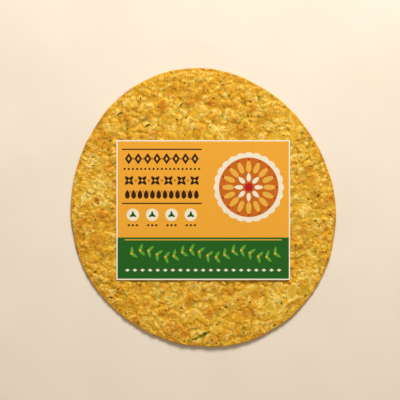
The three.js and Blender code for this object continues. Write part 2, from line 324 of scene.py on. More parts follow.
@dataclass(frozen=True)
class CrustFinish(Finish):
    """Roasted dough: orange-brown through golden yellow to pale, with toast and khaki ground.

    The tone that the points hold, shaken by crumb, grain and grit, picks the colour from deep to pale.
    Paler tone on crests is painted highlight and deeper tone in creases is painted shade.
    """

    name: str = "toasted_crust"
    roughness: float = 0.62
    specular: float = 0.15
    # Deepest roast, and also the painted shade in creases.
    deep: Rgb = (184, 110, 19)
    low: Rgb = (214, 148, 28)
    middle: Rgb = (228, 168, 30)
    high: Rgb = (238, 188, 56)
    # Palest dough, and also the painted highlight on crests and the painted glints.
    pale: Rgb = (254, 226, 130)
    toast: Rgb = (201, 119, 17)
    khaki: Rgb = (212, 177, 56)
    olive: Rgb = (146, 134, 40)
    scorch: Rgb = (150, 78, 8)
    low_tone: Range = (0.0, 0.28)
    middle_tone: Range = (0.28, 0.5)
    high_tone: Range = (0.5, 0.72)
    pale_tone: Range = (0.74, 1.06)
    khaki_crumb: Range = (0.35, 0.6)
    toast_crumb: Range = (0.3, 0.6)
    toast_grit: Range = (0.46, 0.36)
    glint_grain: Range = (0.58, 0.68)
    grain_share: float = 0.5
    crumb_size: float = 1.5
    grain_size: float = 0.7
    grit_size: float = 1.05
    grit_tone: float = 0.9
    grit_toast: float = 0.55
    calming: float = 0.7
    herb: float = 0.6
    rough_grain: float = 0.3
    bump_grain: float = 0.3
    bump_depth: float = 0.2

    def looks(self, bench: Bench, place: Socket) -> dict[str, Number]:
        """Return the crust's colour, roughness and relief.

        Args:
            bench: The material's bench.
            place: The surface's places in its object, in metres.

        Returns:
            What the shader's sockets take.
        """
        crumb = bench.noise(place, self.crumb_size, 3.0)
        grain = bench.noise(place, self.grain_size)
        grit = bench.noise(place, self.grit_size, 1.0)
        gritty, calm = bench.attribute("grit"), 1.0 - self.calming * bench.attribute("calm")
        # The points' tone carries painted highlight on crests and painted shade in creases.
        tone = bench.attribute("tone") + calm * ((crumb - 0.5) + self.grain_share * (grain - 0.5))
        tone = tone + self.grit_tone * gritty * (grit - 0.5)
        colour = bench.layered(
            self.deep,
            (self.low, tone.step(*self.low_tone)),
            (self.middle, tone.step(*self.middle_tone)),
            (self.high, tone.step(*self.high_tone)),
            (self.pale, tone.step(*self.pale_tone)),
            (self.khaki, bench.attribute("khaki") * crumb.step(*self.khaki_crumb)),
            (self.toast, bench.attribute("toast") * crumb.step(*self.toast_crumb)),
            (self.toast, self.grit_toast * gritty * grit.step(*self.toast_grit)),
            # Painted glints: the pale colour where the grain noise peaks on raised grains.
            (self.pale, bench.attribute("sparkle") * grain.step(*self.glint_grain)),
            (self.olive, self.herb * bench.attribute("herb")),
            (self.scorch, bench.attribute("scorch")),
        )
        height = (1 - self.bump_grain) * crumb + self.bump_grain * grain
        rough = self.roughness + self.rough_grain * (grain - 0.5)
        return {"Base Color": colour, "Roughness": rough, "Normal": bench.bump(height, self.bump_depth)}


@dataclass(frozen=True)
class LeafFinish(Finish):
    """Dried fenugreek leaf: dark green with lighter patches."""

    name: str = "methi_leaf"
    specular: float = 0.2
    dark: Rgb = (42, 64, 17)
    light: Rgb = (104, 132, 34)
    patches: Range = (0.5, 0.78)
    patch_size: float = 2.2
    vein_size: float = 0.5
    vein_depth: float = 0.06
    vein_share: float = 0.4
    shade_share: float = 0.5

    def looks(self, bench: Bench, place: Socket) -> dict[str, Number]:
        """Return the leaf's colour and veins.

        Args:
            bench: The material's bench.
            place: The surface's places in its object, in metres.

        Returns:
            What the shader's sockets take.
        """
        patch, vein = bench.noise(place, self.patch_size), bench.noise(place, self.vein_size)
        green = patch + self.vein_share * (vein - 0.5)
        green = green + self.shade_share * (bench.attribute("shade") - 0.5)
        colour = bench.layered(self.dark, (self.light, green.step(*self.patches)))
        return {"Base Color": colour, "Normal": bench.bump(vein, self.vein_depth)}


@dataclass(frozen=True)
class MottledFinish(Finish):
    """Two colours in soft patches: red-brown bran, unless other colours are given."""

    name: str = "bran_speck"
    roughness: float = 0.6
    one: Rgb = (92, 46, 14)
    other: Rgb = (168, 88, 26)
    patches: Range = (0.35, 0.65)
    patch_size: float = 3.0
    detail: float = 2.0

    def looks(self, bench: Bench, place: Socket) -> dict[str, Number]:
        """Return the colour alone."""
        patch = bench.noise(place, self.patch_size, self.detail)
        return {"Base Color": bench.layered(self.one, (self.other, patch.step(*self.patches)))}


FLOOR_STONE = MottledFinish("floor_stone", 0.7, 0.5, (250, 240, 228), (247, 236, 223), (0.35, 0.7), 60.0, 4.0)


class Ink(Enum):
    """The card's colours: its own stock, and the inks printed on it."""

    STOCK = (255, 249, 234)
    ORANGE = (246, 175, 55)
    GREEN = (34, 101, 31)
    BROWN = (58, 28, 10)
    CREAM = (249, 240, 220)
    RUST = (206, 108, 26)
    GOLD = (240, 184, 72)
    RED = (190, 28, 32)
    LEAF = (104, 168, 54)


@dataclass(frozen=True)
class CardFinish(Finish):
    """Satin coated card, with a faint mottle in its ink."""

    roughness: float = 0.5
    specular: float = 0.2
    ink: Ink = Ink.STOCK
    shade: float = 0.98
    mottle: Range = (0.4, 0.75)
    mottle_size: float = 2.6
    fibre_size: float = 0.35
    fibre_depth: float = 0.012
    fibre_share: float = 0.5

    def looks(self, bench: Bench, place: Socket) -> dict[str, Number]:
        """Return the ink's colour and the card's fibres.

        Args:
            bench: The material's bench.
            place: The surface's places in its object, in metres.

        Returns:
            What the shader's sockets take.
        """
        mottle, fibre = bench.noise(place, self.mottle_size), bench.noise(place, self.fibre_size)
        shade = tuple(round(c * self.shade) for c in self.ink.value)
        cover = (mottle + self.fibre_share * (fibre - 0.5)).step(*self.mottle)
        colour = bench.layered(self.ink.value, (shade, cover))
        return {"Base Color": colour, "Normal": bench.bump(fibre, self.fibre_depth)}


# Meshes


def mesh_object(name: str, points: Array, faces: Sequence[Sequence[int]]) -> Object:
    """Make an object from points in millimetres.

    Args:
        name: The object's name.
        points: Its points, one row each.
        faces: Its faces, as numbers of points.

    Returns:
        The object, at the origin, in the scene.
    """
    mesh = bpy.data.meshes.new(name)
    mesh.from_pydata((np.asarray(points) * MM).tolist(), [], faces)
    mesh.update()
    made = bpy.data.objects.new(name, mesh)
    bpy.context.scene.collection.objects.link(made)
    return made


def put_attributes(target: Object, **layers: Array) -> None:
    """Store numbers at the points of an object's mesh.

    Args:
        target: The object.
        layers: The numbers in the order of the points, by the attribute's name.
    """
    for name, values in layers.items():
        layer = target.data.attributes.new(name, "FLOAT", "POINT")
        layer.data.foreach_set("value", np.asarray(values, np.float32))


def settle(piece: Object, node: str) -> None:
    """Tell the frame what a finished piece is, and report it.

    Args:
        piece: The piece.
        node: The CAD node that it stands for.
    """
    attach(piece, BODY)
    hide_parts(node)
    places = np.array([vertex.co for vertex in piece.data.vertices]) / MM
    low, high = (np.round(corner, 2) for corner in (places.min(0), places.max(0)))
    log.info("%s: %d faces, from %s to %s mm", piece.name, len(piece.data.polygons), low, high)


class Geometry(Bench):
    """A Geometry Nodes tree with named inputs, run on an object and made a plain mesh."""

    KINDS = {float: "Float", int: "Int", Object: "Object", Material: "Material"}

    def __init__(self, name: str) -> None:
        """Start a tree that takes and gives geometry.

        Args:
            name: The tree's name.
        """
        super().__init__(bpy.data.node_groups.new(name, "GeometryNodeTree"))
        for way in ("INPUT", "OUTPUT"):
            self.tree.interface.new_socket("Geometry", in_out=way, socket_type="NodeSocketGeometry")
        self.values: dict[str, object] = {}
        self.source = self.tree.nodes.new("NodeGroupInput")

    def input(self, name: str, value: object) -> Socket:
        """Add a named input, of the kind that its value asks for.

        Args:
            name: What it is called.
            value: What it holds on this object.

        Returns:
            The socket that gives it inside the tree.
        """
        kind = next(kind for sort, kind in self.KINDS.items() if isinstance(value, sort))
        item = self.tree.interface.new_socket(name, in_out="INPUT", socket_type=f"NodeSocket{kind}")
        self.values[item.identifier] = value
        return self.source.outputs[name]

    def shape_of(self, name: str, thing: Object) -> Socket:
        """Add an object as a named input and return its geometry."""
        info = self.add("GeometryNodeObjectInfo", None, {"Object": self.input(name, thing)})
        return info.outputs["Geometry"]

    def named(self, name: str) -> Signal:
        """Read a number that the points hold."""
        node = self.add("GeometryNodeInputNamedAttribute", {"data_type": "FLOAT"}, {"Name": name})
        return Signal(self, node.outputs["Attribute"])

    def vector(self, x: Number = 0.0, y: Number = 0.0, z: Number = 0.0) -> Socket:
        """Join three numbers into a vector."""
        return self.add("ShaderNodeCombineXYZ", None, {"X": x, "Y": y, "Z": z}).outputs[0]

    def copies(self, points: Socket, thing: Socket, rotation: Socket, scale: Socket) -> Socket:
        """Put a copy of a thing at every point, with its own rotation and scale."""
        sockets = {"Points": points, "Instance": thing, "Rotation": rotation, "Scale": scale}
        return self.add("GeometryNodeInstanceOnPoints", None, sockets).outputs[0]

    def real(self, copies: Socket) -> Socket:
        """Make copies real."""
        return self.add("GeometryNodeRealizeInstances", None, {"Geometry": copies}).outputs[0]

    def moved(self, geometry: Socket, **move: Socket) -> Socket:
        """Set every point's Position, or shift it by an Offset."""
        return self.add("GeometryNodeSetPosition", None, {"Geometry": geometry, **move}).outputs[0]

    def run(self, target: Object, geometry: Socket, material: Material) -> Object:
        """End the tree, run it on an object and keep the result as its mesh.

        Args:
            target: The object, whose mesh the tree takes.
            geometry: What the tree has made.
            material: What it is dressed in.

        Returns:
            The same object, with the made mesh and no modifier.
        """
        sockets = {"Geometry": self.real(geometry), "Material": self.input("Material", material)}
        dressed = self.add("GeometryNodeSetMaterial", None, sockets)
        self.add("NodeGroupOutput", None, {"Geometry": dressed.outputs[0]})
        modifier = target.modifiers.new(self.tree.name, "NODES")
        modifier.node_group = self.tree
        for identifier, value in self.values.items():
            modifier[identifier] = value
        graph = bpy.context.evaluated_depsgraph_get()
        made = bpy.data.meshes.new_from_object(
            target.evaluated_get(graph), preserve_all_data_layers=True, depsgraph=graph)
        target.modifiers.clear()
        plain, target.data = target.data, made
        made.name = target.name
        bpy.data.meshes.remove(plain)
        return target


@dataclass(frozen=True)
class Spot:
    """Where one copy of a repeated thing goes, how long and wide it is, how it is turned, and its shade."""

    place: complex
    length: float = 1.0
    width: float = 1.0
    turn: float = 0.0
    shade: float = 0.5


def repeated(name: str, thing: Object, spots: Sequence[Spot], material: Material,
             ground: Object | None = None, rise: float = 0.0) -> Object:
    """Copy a thing to many spots, lying flat or draped over a ground.

    Args:
        name: The joined copies' name.
        thing: One copy, a unit long and wide, with heights in millimetres. It is used up.
        spots: Where the copies go.
        material: What they are dressed in.
        ground: What they are draped over, if anything.
        rise: How far above the ground a draped copy lies, in millimetres.

    Returns:
        The copies as one plain mesh.
    """
    points = mesh_object(name, [(s.place.real, s.place.imag, 0.0) for s in spots], [])
    sizes = ("length", "width", "turn", "shade")
    put_attributes(points, **{size: [getattr(s, size) for s in spots] for size in sizes})
    work = Geometry(f"{name}_copies")
    scale = work.vector(work.named("length"), work.named("width"), 1.0)
    turn = work.vector(z=work.named("turn"))
    copies = work.copies(work.source.outputs["Geometry"], work.shape_of("Thing", thing), turn, scale)
    if ground is not None:
        copies = drape(work, copies, ground, rise)
    made = work.run(points, copies, material)
    bpy.data.objects.remove(thing)
    return made


def drape(work: Geometry, copies: Socket, ground: Object, rise: float, above: float = 20.0) -> Socket:
    """Let real copies follow the ground below each of their points.

    Args:
        work: The tree.
        copies: The copies, still as instances.
        ground: What they lie on.
        rise: How far above it they lie, in millimetres.
        above: How far above the floor the search for the ground starts, and below it ends, in millimetres.

    Returns:
        The draped copies.
    """
    here = work.add("GeometryNodeInputPosition").outputs[0]
    x, y, z = work.add("ShaderNodeSeparateXYZ", None, {"Vector": here}).outputs
    ray = work.add("GeometryNodeRaycast", None, {
        "Target Geometry": work.shape_of("Ground", ground),
        "Source Position": work.vector(x, y, above * MM),
        "Ray Direction": (0.0, 0.0, -1.0),
        "Ray Length": 2 * above * MM,
    })
    lift = work.vector(z=Signal(work, z) + work.input("Rise", rise * MM))
    sockets = {0: ray.outputs["Hit Position"], 1: lift}
    lifted = work.add("ShaderNodeVectorMath", {"operation": "ADD"}, sockets)
    return work.moved(work.real(copies), Position=lifted.outputs[0])


# The bread


@dataclass(frozen=True)
class Wave:
    """One slow wave of the outline: how many round the bread, how high, and where one crests."""

    waves: int
    height: float
    toward: float


@dataclass(frozen=True)
class BlisterSize:
    """One size of blister, with at most one in each cell of its own square grid, and the share burst."""

    grid: float
    share: float
    radius: Range
    height: Range
    seed: int
    popped: float = 0.05


@dataclass(frozen=True)
class Blister:
    """A single blister of the bread's top: a dome, or a ring where it has burst.

    An oval one is stretched along a direction, in degrees counter-clockwise from +X. Its outline is
    uneven, and its place sets how, so that no two are alike.
    """

    place: complex
    radius: float
    height: float
    burst: bool = False
    stretch: float = 1.0
    toward: float = 0.0
    uneven: float = 0.12
    small: float = 2.8

    @property
    def stands_clear(self) -> bool:
        """Tell whether it takes the place of what lies there, as burst and small ones do."""
        return self.burst or self.radius < self.small

    def distance(self, place: Array) -> Array:
        """Tell how far places lie from its middle.

        Args:
            place: The places.

        Returns:
            Their distances, as shares of its radius.
        """
        turned = (place - self.place) * polar(1.0, -math.radians(self.toward))
        along = turned.real / self.stretch
        angle = np.arctan2(turned.imag, along)
        waves = np.sin(2 * angle + self.place.real) + 0.8 * np.sin(3 * angle + self.place.imag)
        return np.hypot(along, turned.imag) / (self.radius * (1 + self.uneven * waves))


@dataclass(frozen=True)
class Bow:
    """A bowed line from one end to the other, with its width and height."""

    start: complex
    end: complex
    bow: float
    width: float
    height: float = 0.0

    def at(self, part: Array | float) -> Array | complex:
        """Return the place at a part of the line's length, from 0 to 1."""
        line = self.end - self.start
        return self.start + line * part + 1j * line / abs(line) * (4 * self.bow * part * (1 - part))


@dataclass
class Surface:
    """The top's relief at many places.

    Its height, the tone of each blister, how calm its crumb is, and where the thin walls and the
    insides of burst blisters are.
    """

    height: Array
    tone: Array
    calm: Array = field(init=False)
    wall: Array = field(init=False)
    inside: Array = field(init=False)

    def __post_init__(self) -> None:
        """Start without walls."""
        self.calm, self.wall, self.inside = (np.zeros_like(self.height) for _ in range(3))


RAGGED: tuple[Noise, ...] = ((2.2, 0.4, 142), (6.0, 0.4, 143))
RAGGED_LEAST = 0.6
PATCH_EDGE: Range = (0.35, 1.15)


def cover_of(patches: Sequence[Patch], place: Array) -> Array:
    """Tell how far places lie inside ragged round patches.

    Args:
        patches: Each patch's middle and radius.
        place: The places.

    Returns:
        1 well inside a patch, falling to 0 outside.
    """
    ragged = RAGGED_LEAST + layered_noise(place, RAGGED)
    cover = np.zeros(place.shape)
    for middle, radius in patches:
        cover = np.maximum(cover, 1 - smooth_step(*PATCH_EDGE, np.abs(place - middle) / (radius * ragged)))
    return cover


@dataclass(frozen=True)
class Relief:
    """The form of the bread: its outline, its thickness, its curled edge and its blisters.

    Places are from the outline's centre here. A ragged patch is its middle and its radius.
    """

    mean_radius: float = 98.7
    waves: tuple[Wave, ...] = (
        Wave(2, 3.2, 109), Wave(3, 1.0, 95), Wave(4, 0.4, 17),
        Wave(9, 0.12, 8), Wave(14, 0.12, 3), Wave(23, 0.1, 11),
    )
    thickness: float = 1.7
    edge_thickness: float = 1.2
    thinning_from: float = 0.9
    curl_from: float = 0.6
    curl_mean: float = 0.75
    curl_swing: float = 0.45
    curl_waves: int = 3
    curl_toward: float = 40.0
    rounded_edge: float = 0.7
    broad: BlisterSize = BlisterSize(15, 0.75, (6, 10), (0.35, 0.85), 10)
    middling: BlisterSize = BlisterSize(5.6, 0.88, (2.2, 4.3), (0.35, 1.25), 30)
    lumps: BlisterSize = BlisterSize(3.7, 0.5, (1.5, 2.7), (0.25, 0.7), 60)
    bubbles: BlisterSize = BlisterSize(4.4, 0.92, (1.5, 2.6), (0.42, 0.82), 85, 0.35)
    small: BlisterSize = BlisterSize(2.3, 0.85, (0.8, 1.5), (0.08, 0.2), 50)
    hollows: BlisterSize = BlisterSize(17, 0.8, (4, 8), (0.15, 0.4), 70)
    pits: BlisterSize = BlisterSize(4.2, 0.9, (1.2, 2.4), (0.04, 0.14), 110)
    shake: float = 0.8
    twofold: float = 0.16
    threefold: float = 0.1
    sharpness: Range = (0.95, 1.85)
    blend_power: float = 5.0
    dome_power: float = 1.6
    crest_at: float = 0.75
    ring_floor: float = 0.42
    tallest: float = 1.8
    warps: tuple[Noise, ...] = ((4.2, 0.9, 200), (1.7, 0.35, 210))
    ring_warp: float = 0.45
    dome_warp: float = 1.25
    quiet_from: float = 0.965
    quiet_left: float = 0.6
    bubbly_broad: float = 0.4
    bubbly_middling: float = 0.75
    bubbly_lumps: float = 0.6
    whole_sharpness: float = 1.5
    own_power: int = 6
    dome_clears: float = 0.5
    dome_calm: float = 0.15
    small_calm: float = 0.75
    covered_edge: Range = (1.15, 0.9)
    inside_edge: Range = (0.8, 0.55)
    full_wall: float = 0.85
    wall_at: float = 0.78
    wall_width: float = 0.5
    fold_wall: float = 0.8
    fold_clears: float = 0.6
    fold_reach: float = 3.5
    fold_end_power: float = 0.6
    flat_middle: float = 16.0
    flat_fade: float = 6.0
    singles: tuple[Blister, ...] = tuple(Blister(*sizes) for sizes in (
        (-31+75.2j, 6, 1.15), (-45+73.6j, 3.6, 0.8), (-52.6+73.6j, 3.1, 0.9), (-56+67.4j, 3, 0.85),
        (-12.9+60.6j, 3.3, 1.05, False, 1.4, 90), (-4.6+63.8j, 3, 0.85), (6+58.2j, 3.8, 0.9),
        (7.2+66.2j, 4.5, 1.1), (18.6+69.8j, 3.6, 0.9), (22.8+76j, 4, 1), (19.2+87.2j, 5.8, 1.05),
        (7.2+89j, 3.2, 0.8), (38+55.6j, 4.6, 1), (-73.3-3.8j, 4, 1.15, False, 1.2, 160),
        (-77.6+5.9j, 4.4, 0.7, False, 1.15, 115), (-80.6-36.7j, 4.2, 0.95), (-71.6-45.4j, 3.3, 1),
        (-59.4-60j, 2.9, 0.85), (-51.6-67j, 4.2, 1.05), (-39.4-67.4j, 4.8, 1.05),
        (-30.4-63.9j, 4.2, 0.72, True), (-38-80.4j, 3.2, 0.7), (-34.6-84.6j, 3, 0.9), (-22-83.2j, 3, 0.85),
        (-20.5-56.4j, 3.6, 0.7, True), (-5.3-58.3j, 3.6, 0.8, True), (-15.4-72.6j, 3.2, 0.95),
        (-14.2-78.6j, 3.6, 0.9), (-5-84.6j, 4.2, 1), (4.7-76.2j, 5, 1.25),
        (64.2-60.4j, 4.5, 0.95, True, 1.5, 74), (49.1-71.9j, 4.7, 0.9, True), (75-53j, 3.4, 0.7, True),
        (71.8-39.1j, 3.3, 0.6, True), (80.2-31.4j, 3.9, 0.55, True, 1.3, 30), (-76.1+28.7j, 1.8, 0.7),
        (-72.6+29.4j, 1.6, 0.65), (-71.4+24.6j, 1.8, 0.75), (-67.4+24.4j, 1.9, 0.75),
        (-86.6+21.5j, 1.9, 0.65), (-81.8+18j, 2.3, 0.6, True), (-78.6+15.4j, 2.4, 0.9),
        (-72.7+15.4j, 2.7, 0.65, True), (-83.6+9.4j, 1.8, 0.6), (-69+8.8j, 1.7, 0.7),
        (-67.6+3.8j, 1.7, 0.7), (-71.2+2.6j, 1.6, 0.6), (-84.6-1.6j, 2, 0.75), (-34-73.6j, 2, 0.7),
        (-14.6-94.6j, 2.4, 0.6), (4.4-63.2j, 2.5, 0.75), (55.5-56.7j, 2.6, 0.65, True),
        (56.5-67.8j, 2.6, 0.6, True), (79.6-54.8j, 2.2, 0.75, True), (73.8-48.4j, 2.3, 0.75, True),
        (75.6-43.6j, 2, 0.8, True), (69.6-32.7j, 2.5, 0.75, True), (86.8-27.4j, 2.4, 0.7),
        (83.1-17.6j, 2.2, 0.95, True), (77.8-14.3j, 2.3, 0.9, True), (71.2-7.2j, 2.5, 0.85, True),
        (79.6-5.9j, 2.8, 0.85, True), (85.2-2.6j, 1.7, 0.7), (-39+58.8j, 2.1, 0.7), (47.6+57.6j, 2.2, 0.8),
    ))
    bubbly: tuple[Patch, ...] = (
        (-79+17j, 16), (78-12j, 14), (76-38j, 13), (62-64j, 15), (-72-44j, 8), (-22-62j, 8), (74+8j, 8),
        (-30+56j, 8), (16+60j, 8),
    )
    folds: tuple[Bow, ...] = (
        Bow(56.6-72j, 71.6-63.2j, 0.4, 1.8, 0.95), Bow(40-83.4j, 61-77.8j, -1.2, 1.9, 0.75),
    )
    craters: tuple[Blister, ...] = (
        Blister(-77.4+5.6j, 2.5, 0.95, False, 1.25, 115), Blister(-15.7-72.4j, 1.6, 0.7),
    )

    def outline(self, angle: Array | float) -> Array | float:
        """Return the outline's radius in each direction."""
        bends = (w.height * np.cos(w.waves * (angle - math.radians(w.toward))) for w in self.waves)
        return self.mean_radius + sum(bends)

    def middle(self) -> complex:
        """Find the frame's origin.

        Returns:
            The middle of the outline's box, from the outline's centre.
        """
        angle = np.linspace(0.0, 2 * math.pi, 1981)
        place = polar(self.outline(angle), angle)
        return complex(place.real.min() + place.real.max(), place.imag.min() + place.imag.max()) / 2

    def profile(self, distance: Array, sharpness: Array | float, burst: Array | bool) -> Array:
        """Height of a blister, as a share of its own, at a distance from its middle.

        Args:
            distance: The distance, as a share of the blister's radius.
            sharpness: How flat its top and steep its side are.
            burst: Whether it is a sunken ring.

        Returns:
            The height, from 0 to 1.
        """
        near = np.clip(distance, 0.0, 1.0)
        dome = (1 - near ** (2 * sharpness)) ** self.dome_power
        rise = self.ring_floor + (1 - self.ring_floor) * (near / self.crest_at) ** 4
        fall = 1 - ((near - self.crest_at) / (1 - self.crest_at)) ** 2
        return np.where(burst, np.where(near < self.crest_at, rise, fall), dome)

    def blisters(self, size: BlisterSize, place: Array) -> tuple[Array, Array]:
        """One size of blister all over, each running softly into its neighbours.

        Args:
            size: Which size.
            place: Where the blisters are looked up.

        Returns:
            The height at each place, and the tone, from 0 to 1, of the blister there.
        """
        column, row = (np.floor(v / size.grid).astype(int) for v in (place.real, place.imag))
        total, tone = np.zeros(place.shape), np.zeros(place.shape)
        for i, j in ((column + aside, row + ahead) for aside in (-1, 0, 1) for ahead in (-1, 0, 1)):
            toss = [chance(i, j, size.seed + k) for k in range(9)]
            x, y = (n + 0.5 + self.shake * (shift - 0.5) for n, shift in ((i, toss[1]), (j, toss[2])))
            off = place - (x + 1j * y) * size.grid
            angle, turn = np.angle(off), 2 * math.pi * toss[5]
            uneven = self.twofold * np.sin(2 * angle + turn) + self.threefold * np.sin(3 * angle + 2 * turn)
            distance = np.abs(off) / (between(size.radius, toss[3]) * (1 + uneven))
            shape = self.profile(distance, between(self.sharpness, toss[6]), toss[7] < size.popped)
            height = np.where(toss[0] < size.share, between(size.height, toss[4]) * shape, 0.0)
            total += height**self.blend_power
            tone += height**self.blend_power * toss[8]
        return total ** (1 / self.blend_power), tone / np.maximum(total, 1e-9)

    def single(self, surface: Surface, blister: Blister, place: Array) -> None:
        """Put one single blister on the top.

        A burst or small one takes the place of the relief there, and a larger dome runs into it.

        Args:
            surface: The relief, which is changed.
            blister: The blister.
            place: The relief's places.
        """
        away = blister.distance(place)
        distance = np.clip(away, 0, 1)
        own = blister.height * self.profile(distance, self.whole_sharpness, blister.burst)
        hold = 1 - distance**self.own_power
        if blister.stands_clear:
            surface.height += (own - surface.height) * hold
            calm = 1.0 if blister.burst else self.small_calm
        else:
            surface.height = np.maximum(surface.height * (1 - self.dome_clears * hold), own)
            calm = self.dome_calm
        surface.calm = np.maximum(surface.calm, calm * smooth_step(*self.covered_edge, away))
        if blister.burst:
            wall = np.exp(-(((distance - self.wall_at) * blister.radius / self.wall_width) ** 2))
            surface.wall = np.maximum(surface.wall, min(blister.height / self.full_wall, 1.0) * wall)
            surface.inside = np.maximum(surface.inside, smooth_step(*self.inside_edge, distance))

    def fold(self, surface: Surface, fold: Bow, place: Array) -> None:
        """Raise one fold of the dough, with a thin wall along it.

        Args:
            surface: The relief, which is changed.
            fold: The fold's line.
            place: The relief's places.
        """
        line = fold.end - fold.start
        part = np.clip(((place - fold.start) * line.conjugate()).real / abs(line) ** 2, 0.0, 1.0)
        off = np.abs(place - fold.at(part))
        body = fold.height * np.clip(1 - (off / fold.width) ** 2, 0, 1)
        body = body * np.sin(math.pi * part) ** self.fold_end_power
        clear = 1 - self.fold_clears * np.exp(-((off / self.fold_reach) ** 2))
        wall = self.fold_wall * np.exp(-((off / self.wall_width) ** 2)) * (body > 0)
        surface.height = np.maximum(surface.height * clear, body)
        surface.wall = np.maximum(surface.wall, wall)

    def top_relief(self, plain: Array, share: Array) -> Surface:
        """Relief of the top above the plain sheet.

        Args:
            plain: Places on the top.
            share: How far out each is, from 0 in the middle to 1 at the edge.

        Returns:
            The relief at each place.
        """
        place = self.warped(plain)
        (broad, _), (small, _) = self.blisters(self.broad, place), self.blisters(self.small, place)
        (middling, tone), (lumps, lump_tone), (bubbles, bubble_tone) = (
            self.blisters(size, place) for size in (self.middling, self.lumps, self.bubbles))
        bubbly = cover_of(self.bubbly, place)
        tone = np.where(lumps > middling, lump_tone, tone)
        middling, bubbles = middling * (1 - self.bubbly_middling * bubbly), bubbles * bubbly
        tone = np.where(bubbles > np.maximum(middling, lumps), bubble_tone, tone)
        lumps = lumps * (1 - self.bubbly_lumps * bubbly)
        body = broad * (1 - self.bubbly_broad * bubbly) + np.maximum(np.maximum(middling, lumps), bubbles)
        surface = Surface(body * (1 - (1 - self.quiet_left) * smooth_step(self.quiet_from, 1, share)), tone)
        for blister in self.singles:
            warp = self.ring_warp if blister.stands_clear else self.dome_warp
            self.single(surface, blister, plain + warp * (place - plain))
        place = plain + self.ring_warp * (place - plain)
        for fold in self.folds:
            self.fold(surface, fold, place)
        for crater in self.craters:
            surface.height -= crater.height * np.clip(1 - crater.distance(place) ** 2, 0, 1)
        surface.height += small * (1 - surface.calm)
        surface.height = self.tallest * np.tanh(surface.height / self.tallest)
        return surface

    def warped(self, place: Array) -> Array:
        """Shift places a little each way, so that nothing on the top is quite round.

        Args:
            place: The places.

        Returns:
            The shifted places.
        """
        for size, reach, seed in self.warps:
            aside, ahead = (value_noise(place, size, seed + k) - 0.5 for k in range(2))
            place = place + 2 * reach * (aside + 1j * ahead)
        return place

    def curl(self, share: Array, angle: Array) -> Array:
        """Tell how far the sheet has curled up from the table.

        Args:
            share: How far out each place is, from 0 to 1.
            angle: Its direction in radians.

        Returns:
            The rise at each place.
        """
        bend = np.clip((share - self.curl_from) / (1 - self.curl_from), 0, 1) ** 2
        swing = np.cos(self.curl_waves * (angle - math.radians(self.curl_toward)))
        return bend * (self.curl_mean + self.curl_swing * swing)

    def under(self, place: Array, share: Array, angle: Array) -> Array:
        """Shape the underside.

        Args:
            place: Places on it.
            share: How far out each is, from 0 to 1.
            angle: Its direction in radians.

        Returns:
            The height at each place.
        """
        opened = smooth_step(self.flat_middle, self.flat_middle + self.flat_fade, np.abs(place))
        hollows, pits = (self.blisters(size, place)[0] for size in (self.hollows, self.pits))
        return self.curl(share, angle) + (hollows + pits) * opened

    def sheet(self, share: Array, angle: Array) -> Array:
        """Return the height of the top without its relief."""
        thickness = between((self.thickness, self.edge_thickness), smooth_step(self.thinning_from, 1, share))
        return self.curl(share, angle) + thickness


class Rings:
    """Points in rings round a middle, and the triangles between them."""

    def __init__(self) -> None:
        """Start with no points."""
        self.share: list[Array] = []
        self.angle: list[Array] = []
        self.faces: list[tuple[int, int, int]] = []
        self.count = 0

    def add(self, count: int, share: float) -> range:
        """Add one ring.

        Args:
            count: How many points it has.
            share: How far out it lies, from 0 to 1.

        Returns:
            The numbers of its points.
        """
        self.share.append(np.full(count, share))
        self.angle.append(np.array(turns(count)))
        self.count += count
        return range(self.count - count, self.count)

    def stitch(self, inner: range, outer: range, upward: bool = True) -> None:
        """Join two rings by triangles, whatever their counts.

        Args:
            inner: The inner ring's points.
            outer: The outer ring's points.
            upward: Whether the faces look up.
        """
        i = o = 0
        steps = len(inner) if len(inner) > 1 else 0
        while i < steps or o < len(outer):
            outward = i >= steps or (o < len(outer) and (o + 1) * len(inner) <= (i + 1) * len(outer))
            first, second = inner[i % len(inner)], outer[o % len(outer)]
            if outward:
                o += 1
                third = outer[o % len(outer)]
            else:
                i += 1
                third = inner[i % len(inner)]
            self.faces.append((first, second, third) if upward else (first, third, second))

    def disc(self, radii: Sequence[float], edge_points: int, upward: bool) -> range:
        """Fill a disc with rings whose points lie about as far apart as the rings do.

        Args:
            radii: The rings' radii from the middle outwards.
            edge_points: How many points the last one has.
            upward: Whether its faces look up.

        Returns:
            The points of its edge.
        """
        previous = self.add(1, 0.0)
        for inner, outer in zip([0.0, *radii], radii):
            around = round(2 * math.pi * outer / (outer - inner))
            ring = self.add(edge_points if outer == radii[-1] else max(around, 6), outer / radii[-1])
            self.stitch(previous, ring, upward)
            previous = ring
        return previous


class Chart:
    """A square chart of the top's relief, smoothed to tell crests from hollows."""

    def __init__(self, relief: Relief, half: float = 106.0, cell: float = 0.5) -> None:
        """Chart the relief.

        Args:
            relief: The bread's form.
            half: Half the chart's width.
            cell: Width of one of its cells.
        """
        self.half, self.cell = half, cell
        axis = np.arange(-half, half + cell, cell)
        place = axis + 1j * axis[:, None]
        share = np.abs(place) / relief.outline(np.angle(place))
        self.height = relief.top_relief(place, np.clip(share, 0.0, 1.0)).height

    def smoothed(self, width: float, place: Array) -> Array:
        """Smooth the charted relief over a width and read it between its cells.

        Args:
            width: The width of the blur.
            place: Where it is read.

        Returns:
            The smoothed height at each place.
        """
        steps = np.fft.fftfreq(len(self.height), self.cell)
        fall = np.exp(-2 * (math.pi * width * steps) ** 2)
        chart = np.fft.ifft2(np.fft.fft2(self.height) * fall[:, None] * fall).real
        column, row = ((v + self.half) / self.cell for v in (place.real, place.imag))
        i, j = column.astype(int), row.astype(int)
        low, high = (between((chart[line, i], chart[line, i + 1]), column - i) for line in (j, j + 1))
        return between((low, high), row - j)


